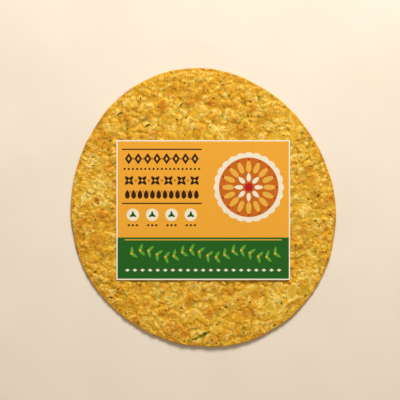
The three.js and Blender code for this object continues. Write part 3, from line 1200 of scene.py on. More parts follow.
@dataclass(frozen=True)
class Roast:
    """What the fire did to the crust, and the light and shade painted on it, as the numbers that its
    material reads at each point.

    Noise is layers of a patch size, a share and a seed. The parts of the tone each have a weight: a
    ground of its own, fine bits, painted highlight on crests and painted shade in creases by how far a
    place stands above what is near, the slope round crests, broad patches, each blister's own tone,
    warmer and paler zones, thin walls and the rim. A range is where something rises from nothing to
    its full amount, or its least and its most. Painted glints go on raised grains, and three of the
    toast patches, along the fold at the lower right, are painted shade below it.
    """

    ground: float = 0.405
    bits: float = 0.42
    # Weight of the painted highlight on crests and painted shade in creases.
    crest_light_crease_shade: float = 0.9
    slope: float = 0.25
    patch: float = -0.15
    blister: float = 0.15
    warm: float = -0.07
    light: float = 0.11
    wall: float = 0.34
    rim: float = -0.15
    near_width: float = 1.0
    wide_width: float = 3.4
    slope_at: float = 0.06
    slope_width: float = 0.14
    mean_bits: float = 1.05
    pale_bits: float = 0.15
    wall_least: float = 0.4
    rim_at: Range = (0.975, 0.995)
    raised_at: Range = (-0.15, 0.2)
    cap_at: Range = (0.08, 0.38)
    cap_tone_at: Range = (0.3, 0.7)
    cap_own: float = 0.6
    cap_toast: float = 0.75
    toast_at: Range = (0.62, 0.82)
    patch_toast: float = 0.6
    zone_toast: float = 0.95
    low_toast: float = 0.55
    pale_toast: float = 0.6
    pale_cap: float = 0.8
    khaki_at: Range = (0.45, 0.75)
    khaki_amount: Range = (0.35, 0.85)
    inside_khaki: float = 0.8
    # Painted glints: pale on grains that stand above what is near, more in paler zones.
    painted_glint_at: Range = (0.02, 0.12)
    painted_glint_amount: Range = (0.35, 0.75)
    toast_dulls: float = 0.8
    herb_at: Range = (0.46, 0.66)
    scorch_at: Range = (0.95, 0.2)
    crater_scorch: float = 0.75
    grit_at: Range = (0.84, 0.97)
    grit_amount: Range = (0.3, 1.0)
    warm_grit: float = 0.5
    pale_grit: float = 0.7
    grit_grain: float = 0.5
    under_ground: float = 0.2
    under_toast_at: Range = (0.58, 0.74)
    under_toast: float = 0.95
    under_scorch_at: Range = (0.74, 0.9)
    under_scorch: float = 0.7
    patch_noise: tuple[Noise, ...] = ((10.0, 0.4, 140), (5.0, 0.6, 141))
    bit_noise: tuple[Noise, ...] = ((4.2, 0.8, 147), (2.8, 0.8, 144), (1.9, 0.5, 145))
    wall_noise: Noise = (1.6, 1.2, 148)
    khaki_noise: Noise = (6.0, 1.0, 146)
    herb_noise: tuple[Noise, ...] = ((7.0, 1.0, 150), (2.4, 1.0, 151))
    under_tone: Noise = (3.4, 0.6, 160)
    under_roast: Noise = (6.0, 1.0, 161)
    # Toast patches; three of them along the fold at the lower right are painted shade below it.
    toasted_and_fold_shade: tuple[Patch, ...] = (
        (-29+73.6j, 5.5), (-40.2+67j, 3.5), (-55.4+63.3j, 5), (-35.7+54.6j, 4.5), (-23.5+84.1j, 4),
        (6.1+77.6j, 4.6), (-3.9+80j, 4.2), (14.3+88.1j, 3.6), (36.1+72.9j, 4.4), (22.4+75.5j, 3.2),
        # The patches at 61.8-71j, 65.4-69.2j and 69-67.2j are painted shade in the band below the fold.
        (8.6+65.8j, 3.2), (28.7+55.6j, 4.4), (36.6-62.2j, 4), (33.6-75j, 5.4), (61.8-71j, 2.2),
        (65.4-69.2j, 2.4), (69-67.2j, 2.2), (76.3+28.2j, 4), (71.7+20.1j, 3.6), (90+4.8j, 3.4),
        (72.2-16.6j, 4.6), (71.7-27.8j, 3), (88-10.5j, 3), (-78.6-23j, 6.2), (-84.9-31.3j, 3.6),
        (-87.4-8.4j, 3.6), (-73.3-3.6j, 4), (-77.7-54.6j, 3.4), (-51-67.6j, 3.2), (-56.4-68.4j, 2.6),
        (-42-69j, 3.4), (-36.6-71.6j, 2.6), (-47.3-57.7j, 3.8), (-20.2-86.6j, 5), (5-75.4j, 5),
        (20.5-60.4j, 4.4), (-13.6-91j, 4), (-84.8+28.7j, 2.6), (-69.8+45.9j, 3.2), (-65.6+17.6j, 2.6),
        (-77.2+6.6j, 3.6), (-59.4-60.4j, 2.4), (-30-62.6j, 2.8), (-56+67.8j, 2.4),
    )
    warm_zones: tuple[Patch, ...] = (
        (-79-24j, 14), (-86-8j, 8), (-60-70j, 15), (-20-90j, 15), (34-66j, 12), (14-62j, 8), (-40+75j, 13),
        (-5+84j, 9), (-18+86j, 9), (8+77j, 7), (30+55j, 8), (72-25j, 10), (-71+45j, 8), (76+28j, 5),
        (32+74j, 6), (-74-5j, 6), (90+6j, 6),
    )
    pale_zones: tuple[Patch, ...] = (
        (-79+17j, 17), (-72+8j, 9), (58-67j, 17), (64+66j, 18), (48+82j, 11), (-8+62j, 7), (15+62j, 7),
        (76-46j, 10), (-34+62j, 6), (73+2j, 8), (86-8j, 7), (74+45j, 8), (-2-92j, 8), (-80+33j, 8),
        (20-70j, 5), (-22-66j, 5), (29.3+70.3j, 2.6), (-43.6+78.4j, 3), (-46+72.6j, 3.4),
    )

    def numbers(self, relief: Relief, place: Array, share: Array, surface: Surface,
                top: Array) -> dict[str, Array]:
        """Work out what the crust's material reads.

        Args:
            relief: The bread's form.
            place: The points' places.
            share: How far out each is, from 0 to 1.
            surface: The relief at each.
            top: Whether each lies on the top, and not on the edge or the underside.

        Returns:
            The numbers at the points, by name.
        """
        chart = Chart(relief)
        widths = (self.near_width, self.wide_width)
        near, wide = (surface.height - chart.smoothed(width, place) for width in widths)
        warm, light = cover_of(self.warm_zones, place), cover_of(self.pale_zones, place)
        patches, raised = layered_noise(place, self.patch_noise), smooth_step(*self.raised_at, wide)
        bits = layered_noise(place, self.bit_noise) - self.mean_bits
        tone = self.ground + sum((
            self.bits * bits * (1 - self.pale_bits * light),
            # Painted highlight on crests and painted shade in creases.
            self.crest_light_crease_shade * near,
            self.slope * np.exp(-(((wide - self.slope_at) / self.slope_width) ** 2)),
            self.patch * (patches - 0.5),
            self.blister * (surface.tone - 0.5),
            self.warm * warm,
            self.light * light,
            self.wall * (self.wall_least + layered_noise(place, (self.wall_noise,))) * surface.wall,
            self.rim * smooth_step(*self.rim_at, share),
        ))
        cap_tone = between((patches, surface.tone), self.cap_own)
        cap = smooth_step(*self.cap_at, wide) * smooth_step(*self.cap_tone_at, cap_tone)
        toast = self.patch_toast * smooth_step(*self.toast_at, patches) * (1 - self.pale_toast * light)
        # Toast patches, with the painted shade below the fold.
        toast = np.maximum(toast, self.zone_toast * cover_of(self.toasted_and_fold_shade, place))
        toast = toast * between((self.low_toast, 1.0), raised)
        toast = np.maximum(toast, self.cap_toast * cap * (1 - self.pale_cap * light))
        khaki = smooth_step(*self.khaki_at, layered_noise(place, (self.khaki_noise,)))
        khaki = between(self.khaki_amount, khaki) * (1 - raised)
        green = math.prod(layered_noise(place, (noise,)) for noise in self.herb_noise)
        # Painted glints on raised grains, dulled where the crust is toasted.
        sparkle = smooth_step(*self.painted_glint_at, near) * between(self.painted_glint_amount, light)
        scorch = np.zeros(place.shape)
        for crater in relief.craters:
            scorch = np.maximum(scorch, smooth_step(*self.scorch_at, crater.distance(place)))
        gritty = between(self.grit_amount, smooth_step(*self.grit_at, share)) + self.warm_grit * warm
        gritty = np.clip(gritty, 0, 1) * (1 - self.pale_grit * light) * (1 - surface.calm)
        under, roast = (layered_noise(place, (noise,)) for noise in (self.under_tone, self.under_roast))
        under_toast = self.under_toast * smooth_step(*self.under_toast_at, roast)
        under_scorch = self.under_scorch * smooth_step(*self.under_scorch_at, roast)
        return {
            "tone": np.where(top, tone, self.under_ground + under),
            "calm": top * surface.calm,
            "toast": np.where(top, toast, under_toast),
            "khaki": top * np.maximum(khaki, self.inside_khaki * surface.inside),
            "sparkle": top * sparkle * (1 - self.toast_dulls * toast),
            "herb": top * smooth_step(*self.herb_at, green) * (1 - raised),
            "scorch": np.where(top, self.crater_scorch * scorch, under_scorch),
            "grit": top * gritty,
            "grain": top * (1 + self.grit_grain * gritty),
        }


@dataclass
class Bread:
    """The khakhra's sheet of dough, as one closed mesh."""

    relief: Relief
    roast: Roast = Roast()
    finish: CrustFinish = CrustFinish()
    coarse_step: float = 2.4
    coarse_until: float = 44.0
    fine_step: float = 0.585
    step_growth: float = 0.84
    under_step: float = 1.75
    edge_bands: int = 6
    edge_nicks: float = 0.4
    nick_size: float = 2.6
    edge_gap: float = 0.03
    grain_height: float = 0.2
    grain_size: float = 1.7
    grain_seed: float = 4.0
    grain_detail: float = 1.5
    card_gap: float = 0.1
    ceiling_knee: float = 0.25

    def build(self) -> Object:
        """Build the bread and dress it.

        Returns:
            The finished piece.
        """
        rings, relief = Rings(), self.relief
        edge_points = round(2 * math.pi * relief.mean_radius / self.fine_step)
        top_edge = rings.disc(self.top_radii(), edge_points, True)
        top_count = rings.count
        bands = [top_edge]
        for _ in range(self.edge_bands - 1):
            bands.append(rings.add(edge_points, 1.0))
            rings.stitch(*bands[-2:])
        below = slice(rings.count, None)
        radii = np.arange(self.under_step, relief.mean_radius, self.under_step)
        under_edge = rings.disc([*map(float, radii), relief.mean_radius], edge_points, False)
        rings.stitch(under_edge, bands[-1], False)

        share, angle = np.concatenate(rings.share), np.concatenate(rings.angle)
        place = polar(share * (relief.outline(angle) - relief.rounded_edge), angle)
        surface = relief.top_relief(place, share)
        z = self.below_ceiling(relief.sheet(share, angle) + surface.height)
        z[below] = relief.under(place[below], share[below], angle[below])
        self.round_edge(place, z, bands, under_edge)

        framed = place - relief.middle()
        bread = mesh_object("khakhra_bread", np.stack([framed.real, framed.imag, z], 1), rings.faces)
        top = np.arange(rings.count) < top_count
        put_attributes(bread, **self.roast.numbers(relief, place, share, surface, top))
        bread.data.shade_smooth()
        self.roughen(bread)
        settle(bread, BREAD_NODE)
        return bread

    def top_radii(self) -> list[float]:
        """Space the top's rings, coarse where the card hides it and fine outside.

        Returns:
            Their radii from the middle outwards.
        """
        radii, step = [0.0], self.coarse_step
        while radii[-1] + step < self.relief.mean_radius:
            radii.append(radii[-1] + step)
            if radii[-1] > self.coarse_until:
                step = max(step * self.step_growth, self.fine_step)
        return [*radii[1:], self.relief.mean_radius]

    def below_ceiling(self, z: Array) -> Array:
        """Press the tallest blisters down a little, so that none reaches the card."""
        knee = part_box(CARD_NODE)[0][2] / MM - self.card_gap - self.ceiling_knee
        return np.where(z > knee, knee + self.ceiling_knee * np.tanh((z - knee) / self.ceiling_knee), z)

    def round_edge(self, place: Array, z: Array, bands: Sequence[range], under: range) -> None:
        """Place the bands between the top's edge and the underside's on a rounded, nicked lip.

        Args:
            place: All points' places, which are changed.
            z: Their heights, which are changed.
            bands: The top's edge and the bands below it.
            under: The underside's edge.
        """
        angle = np.array(turns(len(under)))
        low, high = (z[ring.start:ring.stop] for ring in (under, bands[0]))
        inner = self.relief.outline(angle) - self.relief.rounded_edge - self.edge_gap
        for number, band in enumerate(bands[1:], 1):
            turn = math.pi * number / self.edge_bands
            nicks = value_noise(angle * self.relief.mean_radius + 9j * number, self.nick_size, 130)
            out = self.relief.rounded_edge * math.sin(turn) * (1 - self.edge_nicks * nicks)
            place[band.start:band.stop] = polar(inner + out, angle)
            z[band.start:band.stop] = between((low, high), 0.5 + 0.5 * math.cos(turn))

    def roughen(self, bread: Object) -> None:
        """Roughen the crust by fine noise along its normals, where the points ask for it, and dress it.

        Args:
            bread: The bread, whose mesh is changed.
        """
        work = Geometry("crust_grain")
        height = work.input("Grain height", self.grain_height * MM)
        size = work.input("Grain size", self.grain_size * MM)
        scale = work.add("ShaderNodeMath", {"operation": "DIVIDE"}, {0: 1.0, 1: size}).outputs[0]
        sockets = {"Scale": scale, "W": work.input("Seed", self.grain_seed), "Detail": self.grain_detail}
        noise = work.add("ShaderNodeTexNoise", {"noise_dimensions": "4D"}, sockets)
        swing = 2.0 * (Signal(work, noise.outputs[0]) - 0.5) * work.named("grain") * height
        normal = work.add("GeometryNodeInputNormal").outputs[0]
        offset = work.add("ShaderNodeVectorMath", {"operation": "SCALE"}, {0: normal, "Scale": swing})
        moved = work.moved(work.source.outputs["Geometry"], Offset=offset.outputs[0])
        work.run(bread, moved, self.finish.material())


# Leaf and bran


@dataclass
class Leaves:
    """Flecks of chopped leaf, and the one long strand near the edge.

    A fleck that catches the eye is its middle, its length, and its direction in degrees.
    """

    relief: Relief
    bread: Object
    finish: LeafFinish = LeafFinish()
    strand_finish: LeafFinish = LeafFinish(
        "methi_strand", dark=(66, 76, 10), light=(158, 150, 32), patches=(0.32, 0.58))
    seen: tuple[tuple[complex, float, float], ...] = (
        (-76+3.9j, 1.5, 20), (19.1+81.9j, 2.1, 60), (7.7+80.2j, 1.8, 0), (34.3+77.8j, 1.4, 50),
        (-12.1+66.1j, 2.6, 52), (-15.8+75.5j, 3.8, 48), (-32.5+73.9j, 1.8, 45), (-60.8+69j, 4.4, 38),
        (-40.4+60.5j, 4.8, 33), (-45.4+80.3j, 2.4, 95), (-13.5+91.4j, 1.5, 40), (58.3+53.4j, 1.5, 20),
        (76.5+7.1j, 1.6, 80), (83.9+9.7j, 2.9, 62), (81.6-8.6j, 2.5, 42), (84.3-12.4j, 2.4, 62),
        (67.4-26.3j, 1.7, 20), (84.9-38j, 1.5, 30), (74.6-63.2j, 1.9, 60), (57-68.5j, 1.6, 80),
        (51.8-84.7j, 2, 35), (25.5-66.2j, 1.7, 10), (12-72.7j, 2.2, 15), (16.7-71.5j, 2, 40),
        (-27.4-73.6j, 1.6, 70), (-45.5-55.6j, 1.5, 80), (-61.6-58.4j, 2.1, 62), (-66.7-64.3j, 2.2, 170),
        (-78.2-45.9j, 2.2, 25), (-68.7+43.2j, 2.3, 60), (-68+39j, 1.6, 70), (-80.1+37.5j, 1.6, 10),
        (-79.7+31.4j, 1.7, 20), (-86.2+41.3j, 2.4, 60), (-67.2+49.4j, 2.2, 40), (-78.2-8.2j, 1.4, 20),
        (3.5+86.2j, 1.1, 30), (13+92.5j, 1, 80), (19.1+54.4j, 1.1, 20), (55.7+56.8j, 1.1, 60),
        (93.9-5.7j, 1.1, 70), (69.9+18.4j, 1, 40), (81.6-31.1j, 1.1, 20), (-56.3-76.2j, 1.1, 50),
        (-47.2-81.7j, 1.2, 30), (-36.2-83.9j, 1.1, 75), (-24.5-91.8j, 1, 15), (37.3-77.1j, 1.1, 60),
        (-32.7+60.7j, 1.2, 35), (-17.4+71.1j, 1.1, 55), (-54.8+58.1j, 1.2, 30), (-13.6-96.4j, 1.3, 30),
        (6.2-95j, 1.3, 60), (9.6-97.4j, 1.2, 20), (9.6-83.9j, 1.5, 40),
    )
    scattered: int = 26
    crumbs: int = 110
    scattered_length: Range = (1.0, 1.7)
    crumb_length: Range = (0.5, 1.0)
    width: Range = (0.8, 1.2)
    seen_widest: float = 0.8
    scattered_widest: float = 0.9
    pale_length: Range = (2.0, 0.8)
    own_shade: float = 0.6
    pale_shade: float = 0.5
    reach: float = 0.95
    spacing: float = 5.0
    shake_turn: float = 0.9
    shake_rank: float = 5.0
    card_margin: float = 2.5
    seed: int = 90
    crumb_seed: int = 110
    rise: float = 0.03
    thickness: float = 0.2
    thin_side: float = 0.35
    fleck_end: float = 0.06
    fleck_torn: float = 0.22
    fleck_bend: float = 0.08
    strand: Bow = Bow(-11-96.4j, 5.2-88.5j, -0.3, 2.2)
    strand_end: float = 0.25
    strand_torn: float = 0.12

    def build(self) -> None:
        """Build the flecks and the strand."""
        spots = self.seen_spots() + self.scattered_spots(self.scattered, self.scattered_length, self.seed)
        spots += self.scattered_spots(self.crumbs, self.crumb_length, self.crumb_seed)
        for name, leaf, leaf_spots, finish in (
            ("leaf_flecks", self.plate("fleck", self.fleck_place, 6, 3), spots, self.finish),
            ("leaf_strand", self.plate("strand", self.strand_place, 36, 4), [Spot(0j)], self.strand_finish),
        ):
            piece = repeated(name, leaf, leaf_spots, finish.material(), self.bread, self.rise)
            settle(piece, BREAD_NODE)

    def spot(self, place: complex, length: float, width: float, turn: float) -> Spot:
        """Place a fleck in the frame, paler if it is small.

        Args:
            place: Its middle, from the outline's centre.
            length: How long it is.
            width: How wide.
            turn: How far it is turned, in radians.

        Returns:
            Its spot.
        """
        longest, shortest = self.pale_length
        small = min(max((longest - length) / (longest - shortest), 0.0), 1.0)
        toss = float(chance(round(10 * place.real), round(10 * place.imag), self.seed))
        shade = self.own_shade * toss + self.pale_shade * small
        return Spot(place - self.relief.middle(), length, width, turn, shade)

    def under_card(self, place: complex) -> bool:
        """Tell whether the card hides a place.

        Args:
            place: The place, from the outline's centre.

        Returns:
            True below the card and its margin.
        """
        low, high = (np.array(corner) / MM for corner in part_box(CARD_NODE))
        beside = place - self.relief.middle() - complex(*(low + high)[:2]) / 2
        half = (high - low) / 2 + self.card_margin
        return abs(beside.real) < half[0] and abs(beside.imag) < half[1]

    def seen_spots(self) -> list[Spot]:
        """Place the flecks that catch the eye.

        Returns:
            Their spots.
        """
        widths = (float(between(self.width, chance(n, 0, self.seed))) for n in range(len(self.seen)))
        return [
            self.spot(place, length, min(width, self.seen_widest * length), math.radians(toward))
            for width, (place, length, toward) in zip(widths, self.seen)
        ]

    def scattered_spots(self, count: int, lengths: Range, seed: int) -> list[Spot]:
        """Spread flecks evenly and shake them, clear of those that catch the eye.

        Args:
            count: How many are tried.
            lengths: The shortest and the longest.
            seed: Which toss of the numbers is used.

        Returns:
            Their spots.
        """
        golden, spots = math.pi * (3 - math.sqrt(5)), []
        for n in range(count):
            toss = [float(chance(n, k, seed)) for k in range(6)]
            angle = n * golden + self.shake_turn * (toss[1] - 0.5)
            spread = min(max((n + 0.5 + self.shake_rank * (toss[2] - 0.5)) / count, 0.0), 1.0)
            place = polar(self.reach * math.sqrt(spread) * self.relief.outline(angle), angle)
            near_seen = any(abs(place - seen) < self.spacing for seen, _, _ in self.seen)
            if near_seen or self.under_card(place):
                continue
            length = between(lengths, toss[3])
            width = min(between(self.width, toss[4]), self.scattered_widest * length)
            spots.append(self.spot(place, length, width, 2 * math.pi * toss[5]))
        return spots

    def fleck_place(self, along: float, across: float) -> complex:
        """Shape a fleck a unit long and wide, torn unevenly.

        Args:
            along: A share of its length, from 0 to 1.
            across: A share of its width.

        Returns:
            The place there.
        """
        half = 0.5 * math.sin(math.pi * min(max(along, self.fleck_end), 1 - self.fleck_end)) ** 0.6
        torn = 1 + self.fleck_torn * math.sin(9 * along + 4 * across)
        return complex(along - 0.5, (2 * across - 1) * half * torn + self.fleck_bend * math.sin(5 * along))

    def strand_place(self, along: float, across: float) -> complex:
        """Shape the strand, bowed, broad towards one end and narrow at both.

        Args:
            along: A share of its length, from 0 to 1.
            across: A share of its width.

        Returns:
            The place there.
        """
        here = self.strand.at(along)
        step = self.strand.at(along + 0.01) - here
        broad = max(math.sin(math.pi * along**1.5), 0.0) ** 0.7
        half = self.strand.width / 2 * between((self.strand_end, 1.0), broad)
        aside = (2 * across - 1) * half * (1 + self.strand_torn * math.sin(23 * along + 3 * across))
        return here + 1j * step / abs(step) * aside - self.relief.middle()

    def plate(self, name: str, place: Callable[[float, float], complex], steps: int, rows: int) -> Object:
        """Make a thin closed plate from a rule for its places.

        Args:
            name: Its name.
            place: Gives a place from the shares along and across, each from 0 to 1.
            steps: How many steps it has along.
            rows: How many strips it has across.

        Returns:
            The plate, crowned above and flat below.
        """
        flat = [(s / steps, r / rows) for s in range(steps + 1) for r in range(rows + 1)]
        places = [place(*shares) for shares in flat]
        crown = [between((self.thin_side, 1.0), math.sin(math.pi * across)) for _, across in flat]
        points = [(p.real, p.imag, self.thickness * c) for p, c in zip(places, crown)]
        points += [(p.real, p.imag, -self.thickness) for p in places]
        wide, count = rows + 1, len(flat)
        faces = []
        for a in (s * wide + r for s in range(steps) for r in range(rows)):
            faces.append((a, a + wide, a + wide + 1, a + 1))
            faces.append(tuple(count + n for n in (a, a + 1, a + wide + 1, a + wide)))
        rim = [s * wide for s in range(steps)] + [steps * wide + r for r in range(rows)]
        rim += [s * wide + rows for s in range(steps, 0, -1)] + list(range(rows, 0, -1))
        faces += [(a, b, b + count, a + count) for a, b in zip(rim[1:] + rim[:1], rim)]
        return mesh_object(name, points, faces)


@dataclass
class Bran:
    """Bran and spice specks: some where the eye is caught, the rest strewn over the top by density."""

    relief: Relief
    bread: Object
    finish: MottledFinish = MottledFinish()
    seen: tuple[Patch, ...] = (
        (35+67.8j, 1.3), (61.3-74.5j, 1.2), (24.1-72.9j, 1), (62.9-54.2j, 1.6), (-72.7+43.4j, 1.2),
        (-71.5+54.6j, 1.1), (69.1-1.6j, 1), (6.3+70.3j, 1.2), (45.4-55.5j, 1.1), (-21.5+93.7j, 1),
        (-13.1+91.3j, 1.1), (78.7+4.3j, 1),
    )
    seen_width: float = 0.75
    spacing: float = 9.0
    density: float = 3400.0
    size: Range = (0.4, 0.85)
    strewn_width: float = 0.75
    strewn_height: float = 0.55
    around: int = 8
    bands: int = 5
    seed: int = 7

    def build(self) -> None:
        """Build the strewn specks and the larger ones that catch the eye."""
        spots = [
            Spot(place - self.relief.middle(), size, self.seen_width * size,
                 2 * math.pi * float(chance(n, 0, self.seed)))
            for n, (place, size) in enumerate(self.seen)
        ]
        strewn = self.strewn()
        spices = repeated("spice_specks", self.grain(), spots, self.finish.material(), self.bread)
        for piece in (strewn, spices):
            settle(piece, BREAD_NODE)

    def grain(self, flat: float = 0.3) -> Object:
        """Make a flattened grain a unit long and wide, with its middle at the ground.

        Args:
            flat: Half its height.

        Returns:
            The grain.
        """
        around, last = self.around, 1 + (self.bands - 2) * self.around
        down = [math.pi * band / self.bands for band in range(1, self.bands)]
        rings = [(polar(0.5 * math.sin(d), a), flat * math.cos(d)) for d in down for a in turns(around)]
        points = [(0.0, 0.0, flat), *((p.real, p.imag, z) for p, z in rings), (0.0, 0.0, -flat)]
        ahead = [(k + 1) % around for k in range(around)]
        faces = [(0, 1 + k, 1 + ahead[k]) for k in range(around)]
        for start in range(1, last, around):
            faces += [
                (start + k, start + around + k, start + around + ahead[k], start + ahead[k])
                for k in range(around)
            ]
        faces += [(last + ahead[k], last + k, last + around) for k in range(around)]
        return mesh_object("grain", points, faces)

    def strewn(self) -> Object:
        """Strew the small specks over the top.

        Returns:
            The specks, as one mesh.
        """
        work = Geometry("bran_strewn")
        seed = work.input("Seed", self.seed)
        strewn = work.add("GeometryNodeDistributePointsOnFaces", {"distribute_method": "POISSON"}, {
            "Mesh": work.shape_of("Ground", self.bread),
            "Distance Min": work.input("Spacing", self.spacing * MM),
            "Density Max": work.input("Density", self.density),
            "Density Factor": work.named("grain"),
            "Seed": seed,
        }).outputs
        speck = work.add("GeometryNodeMeshIcoSphere", None, {"Radius": 0.5, "Subdivisions": 2}).outputs[0]
        low, high = (s * MM for s in self.size)
        size = work.add("FunctionNodeRandomValue", {"data_type": "FLOAT"}, {2: low, 3: high, "Seed": seed})
        length = Signal(work, size.outputs[1])
        scale = work.vector(length, length * self.strewn_width, length * self.strewn_height)
        copies = work.copies(strewn["Points"], speck, strewn["Rotation"], scale)
        return work.run(mesh_object("bran_specks", np.zeros((1, 3)), []), copies, self.finish.material())


# The card


class Motif:
    """Outlines of the card's printed shapes, round their own middle, counter-clockwise."""

    @staticmethod
    def disc(radius: float, points: int = 64) -> list[complex]:
        """Return a circle."""
        return [polar(radius, a) for a in turns(points)]

    @staticmethod
    def scalloped(radius: float, lobes: int, depth: float, blunt: float = 0.8) -> list[complex]:
        """Return a disc with a scalloped edge."""
        lobe = [(a, abs(math.cos(lobes * a / 2)) ** blunt) for a in turns(lobes * 12)]
        return [polar(radius - depth + depth * out, a) for a, out in lobe]

    @staticmethod
    def bar(width: float, height: float, corner: float | None = None) -> list[complex]:
        """Return a bar with rounded corners.

        Args:
            width: How wide it is.
            height: How high.
            corner: Its corners' radius; without one they are rounded almost fully.

        Returns:
            Its outline.
        """
        radius = 0.47 * height if corner is None else corner
        inner = ((1, 1), (-1, 1), (-1, -1), (1, -1))
        return [
            complex(sx * (width / 2 - radius), sy * (height / 2 - radius))
            + polar(radius, (quarter + step / 8) * math.pi / 2)
            for quarter, (sx, sy) in enumerate(inner) for step in range(9)
        ]

    @staticmethod
    def petal(points: int = 40, blunt: float = 0.62) -> list[complex]:
        """Return a petal a unit long and at most a unit wide.

        Args:
            points: How many points its outline has.
            blunt: How far its far end is drawn in to a point.

        Returns:
            Its outline.
        """
        return [
            complex(0.5 * math.cos(a), 0.5 * math.sin(a) * abs(math.sin(a / 2)) ** blunt)
            for a in turns(points)
        ]

    @staticmethod
    def diamond() -> list[complex]:
        """Return a diamond a unit long and wide."""
        return [0.5, 0.5j, -0.5, -0.5j]


Print = tuple[str, list[complex], int, Ink, list[Spot]]


def row(centre: complex, count: int, width: float, length: float = 1.0, across: float = 1.0,
        turn: float = 0.0) -> list[Spot]:
    """Spread copies evenly along a row.

    Args:
        centre: The row's middle on the card.
        count: How many copies.
        width: From the first copy's middle to the last one's.
        length: How long each copy is.
        across: How wide.
        turn: How far each is turned, in degrees.

    Returns:
        Their spots.
    """
    places = (centre + width * (k / (count - 1) - 0.5) for k in range(count))
    return [Spot(place, length, across, math.radians(turn)) for place in places]


def ring_of(centre: complex, radius: float, angles: Sequence[float], length: float,
            width: float) -> list[Spot]:
    """Spread copies round a circle, each pointing outwards.

    Args:
        centre: The circle's middle on the card.
        radius: Its radius.
        angles: Where on it they lie, in radians.
        length: How long each is.
        width: How wide.

    Returns:
        Their spots.
    """
    return [Spot(centre + polar(radius, a), length, width, a) for a in angles]


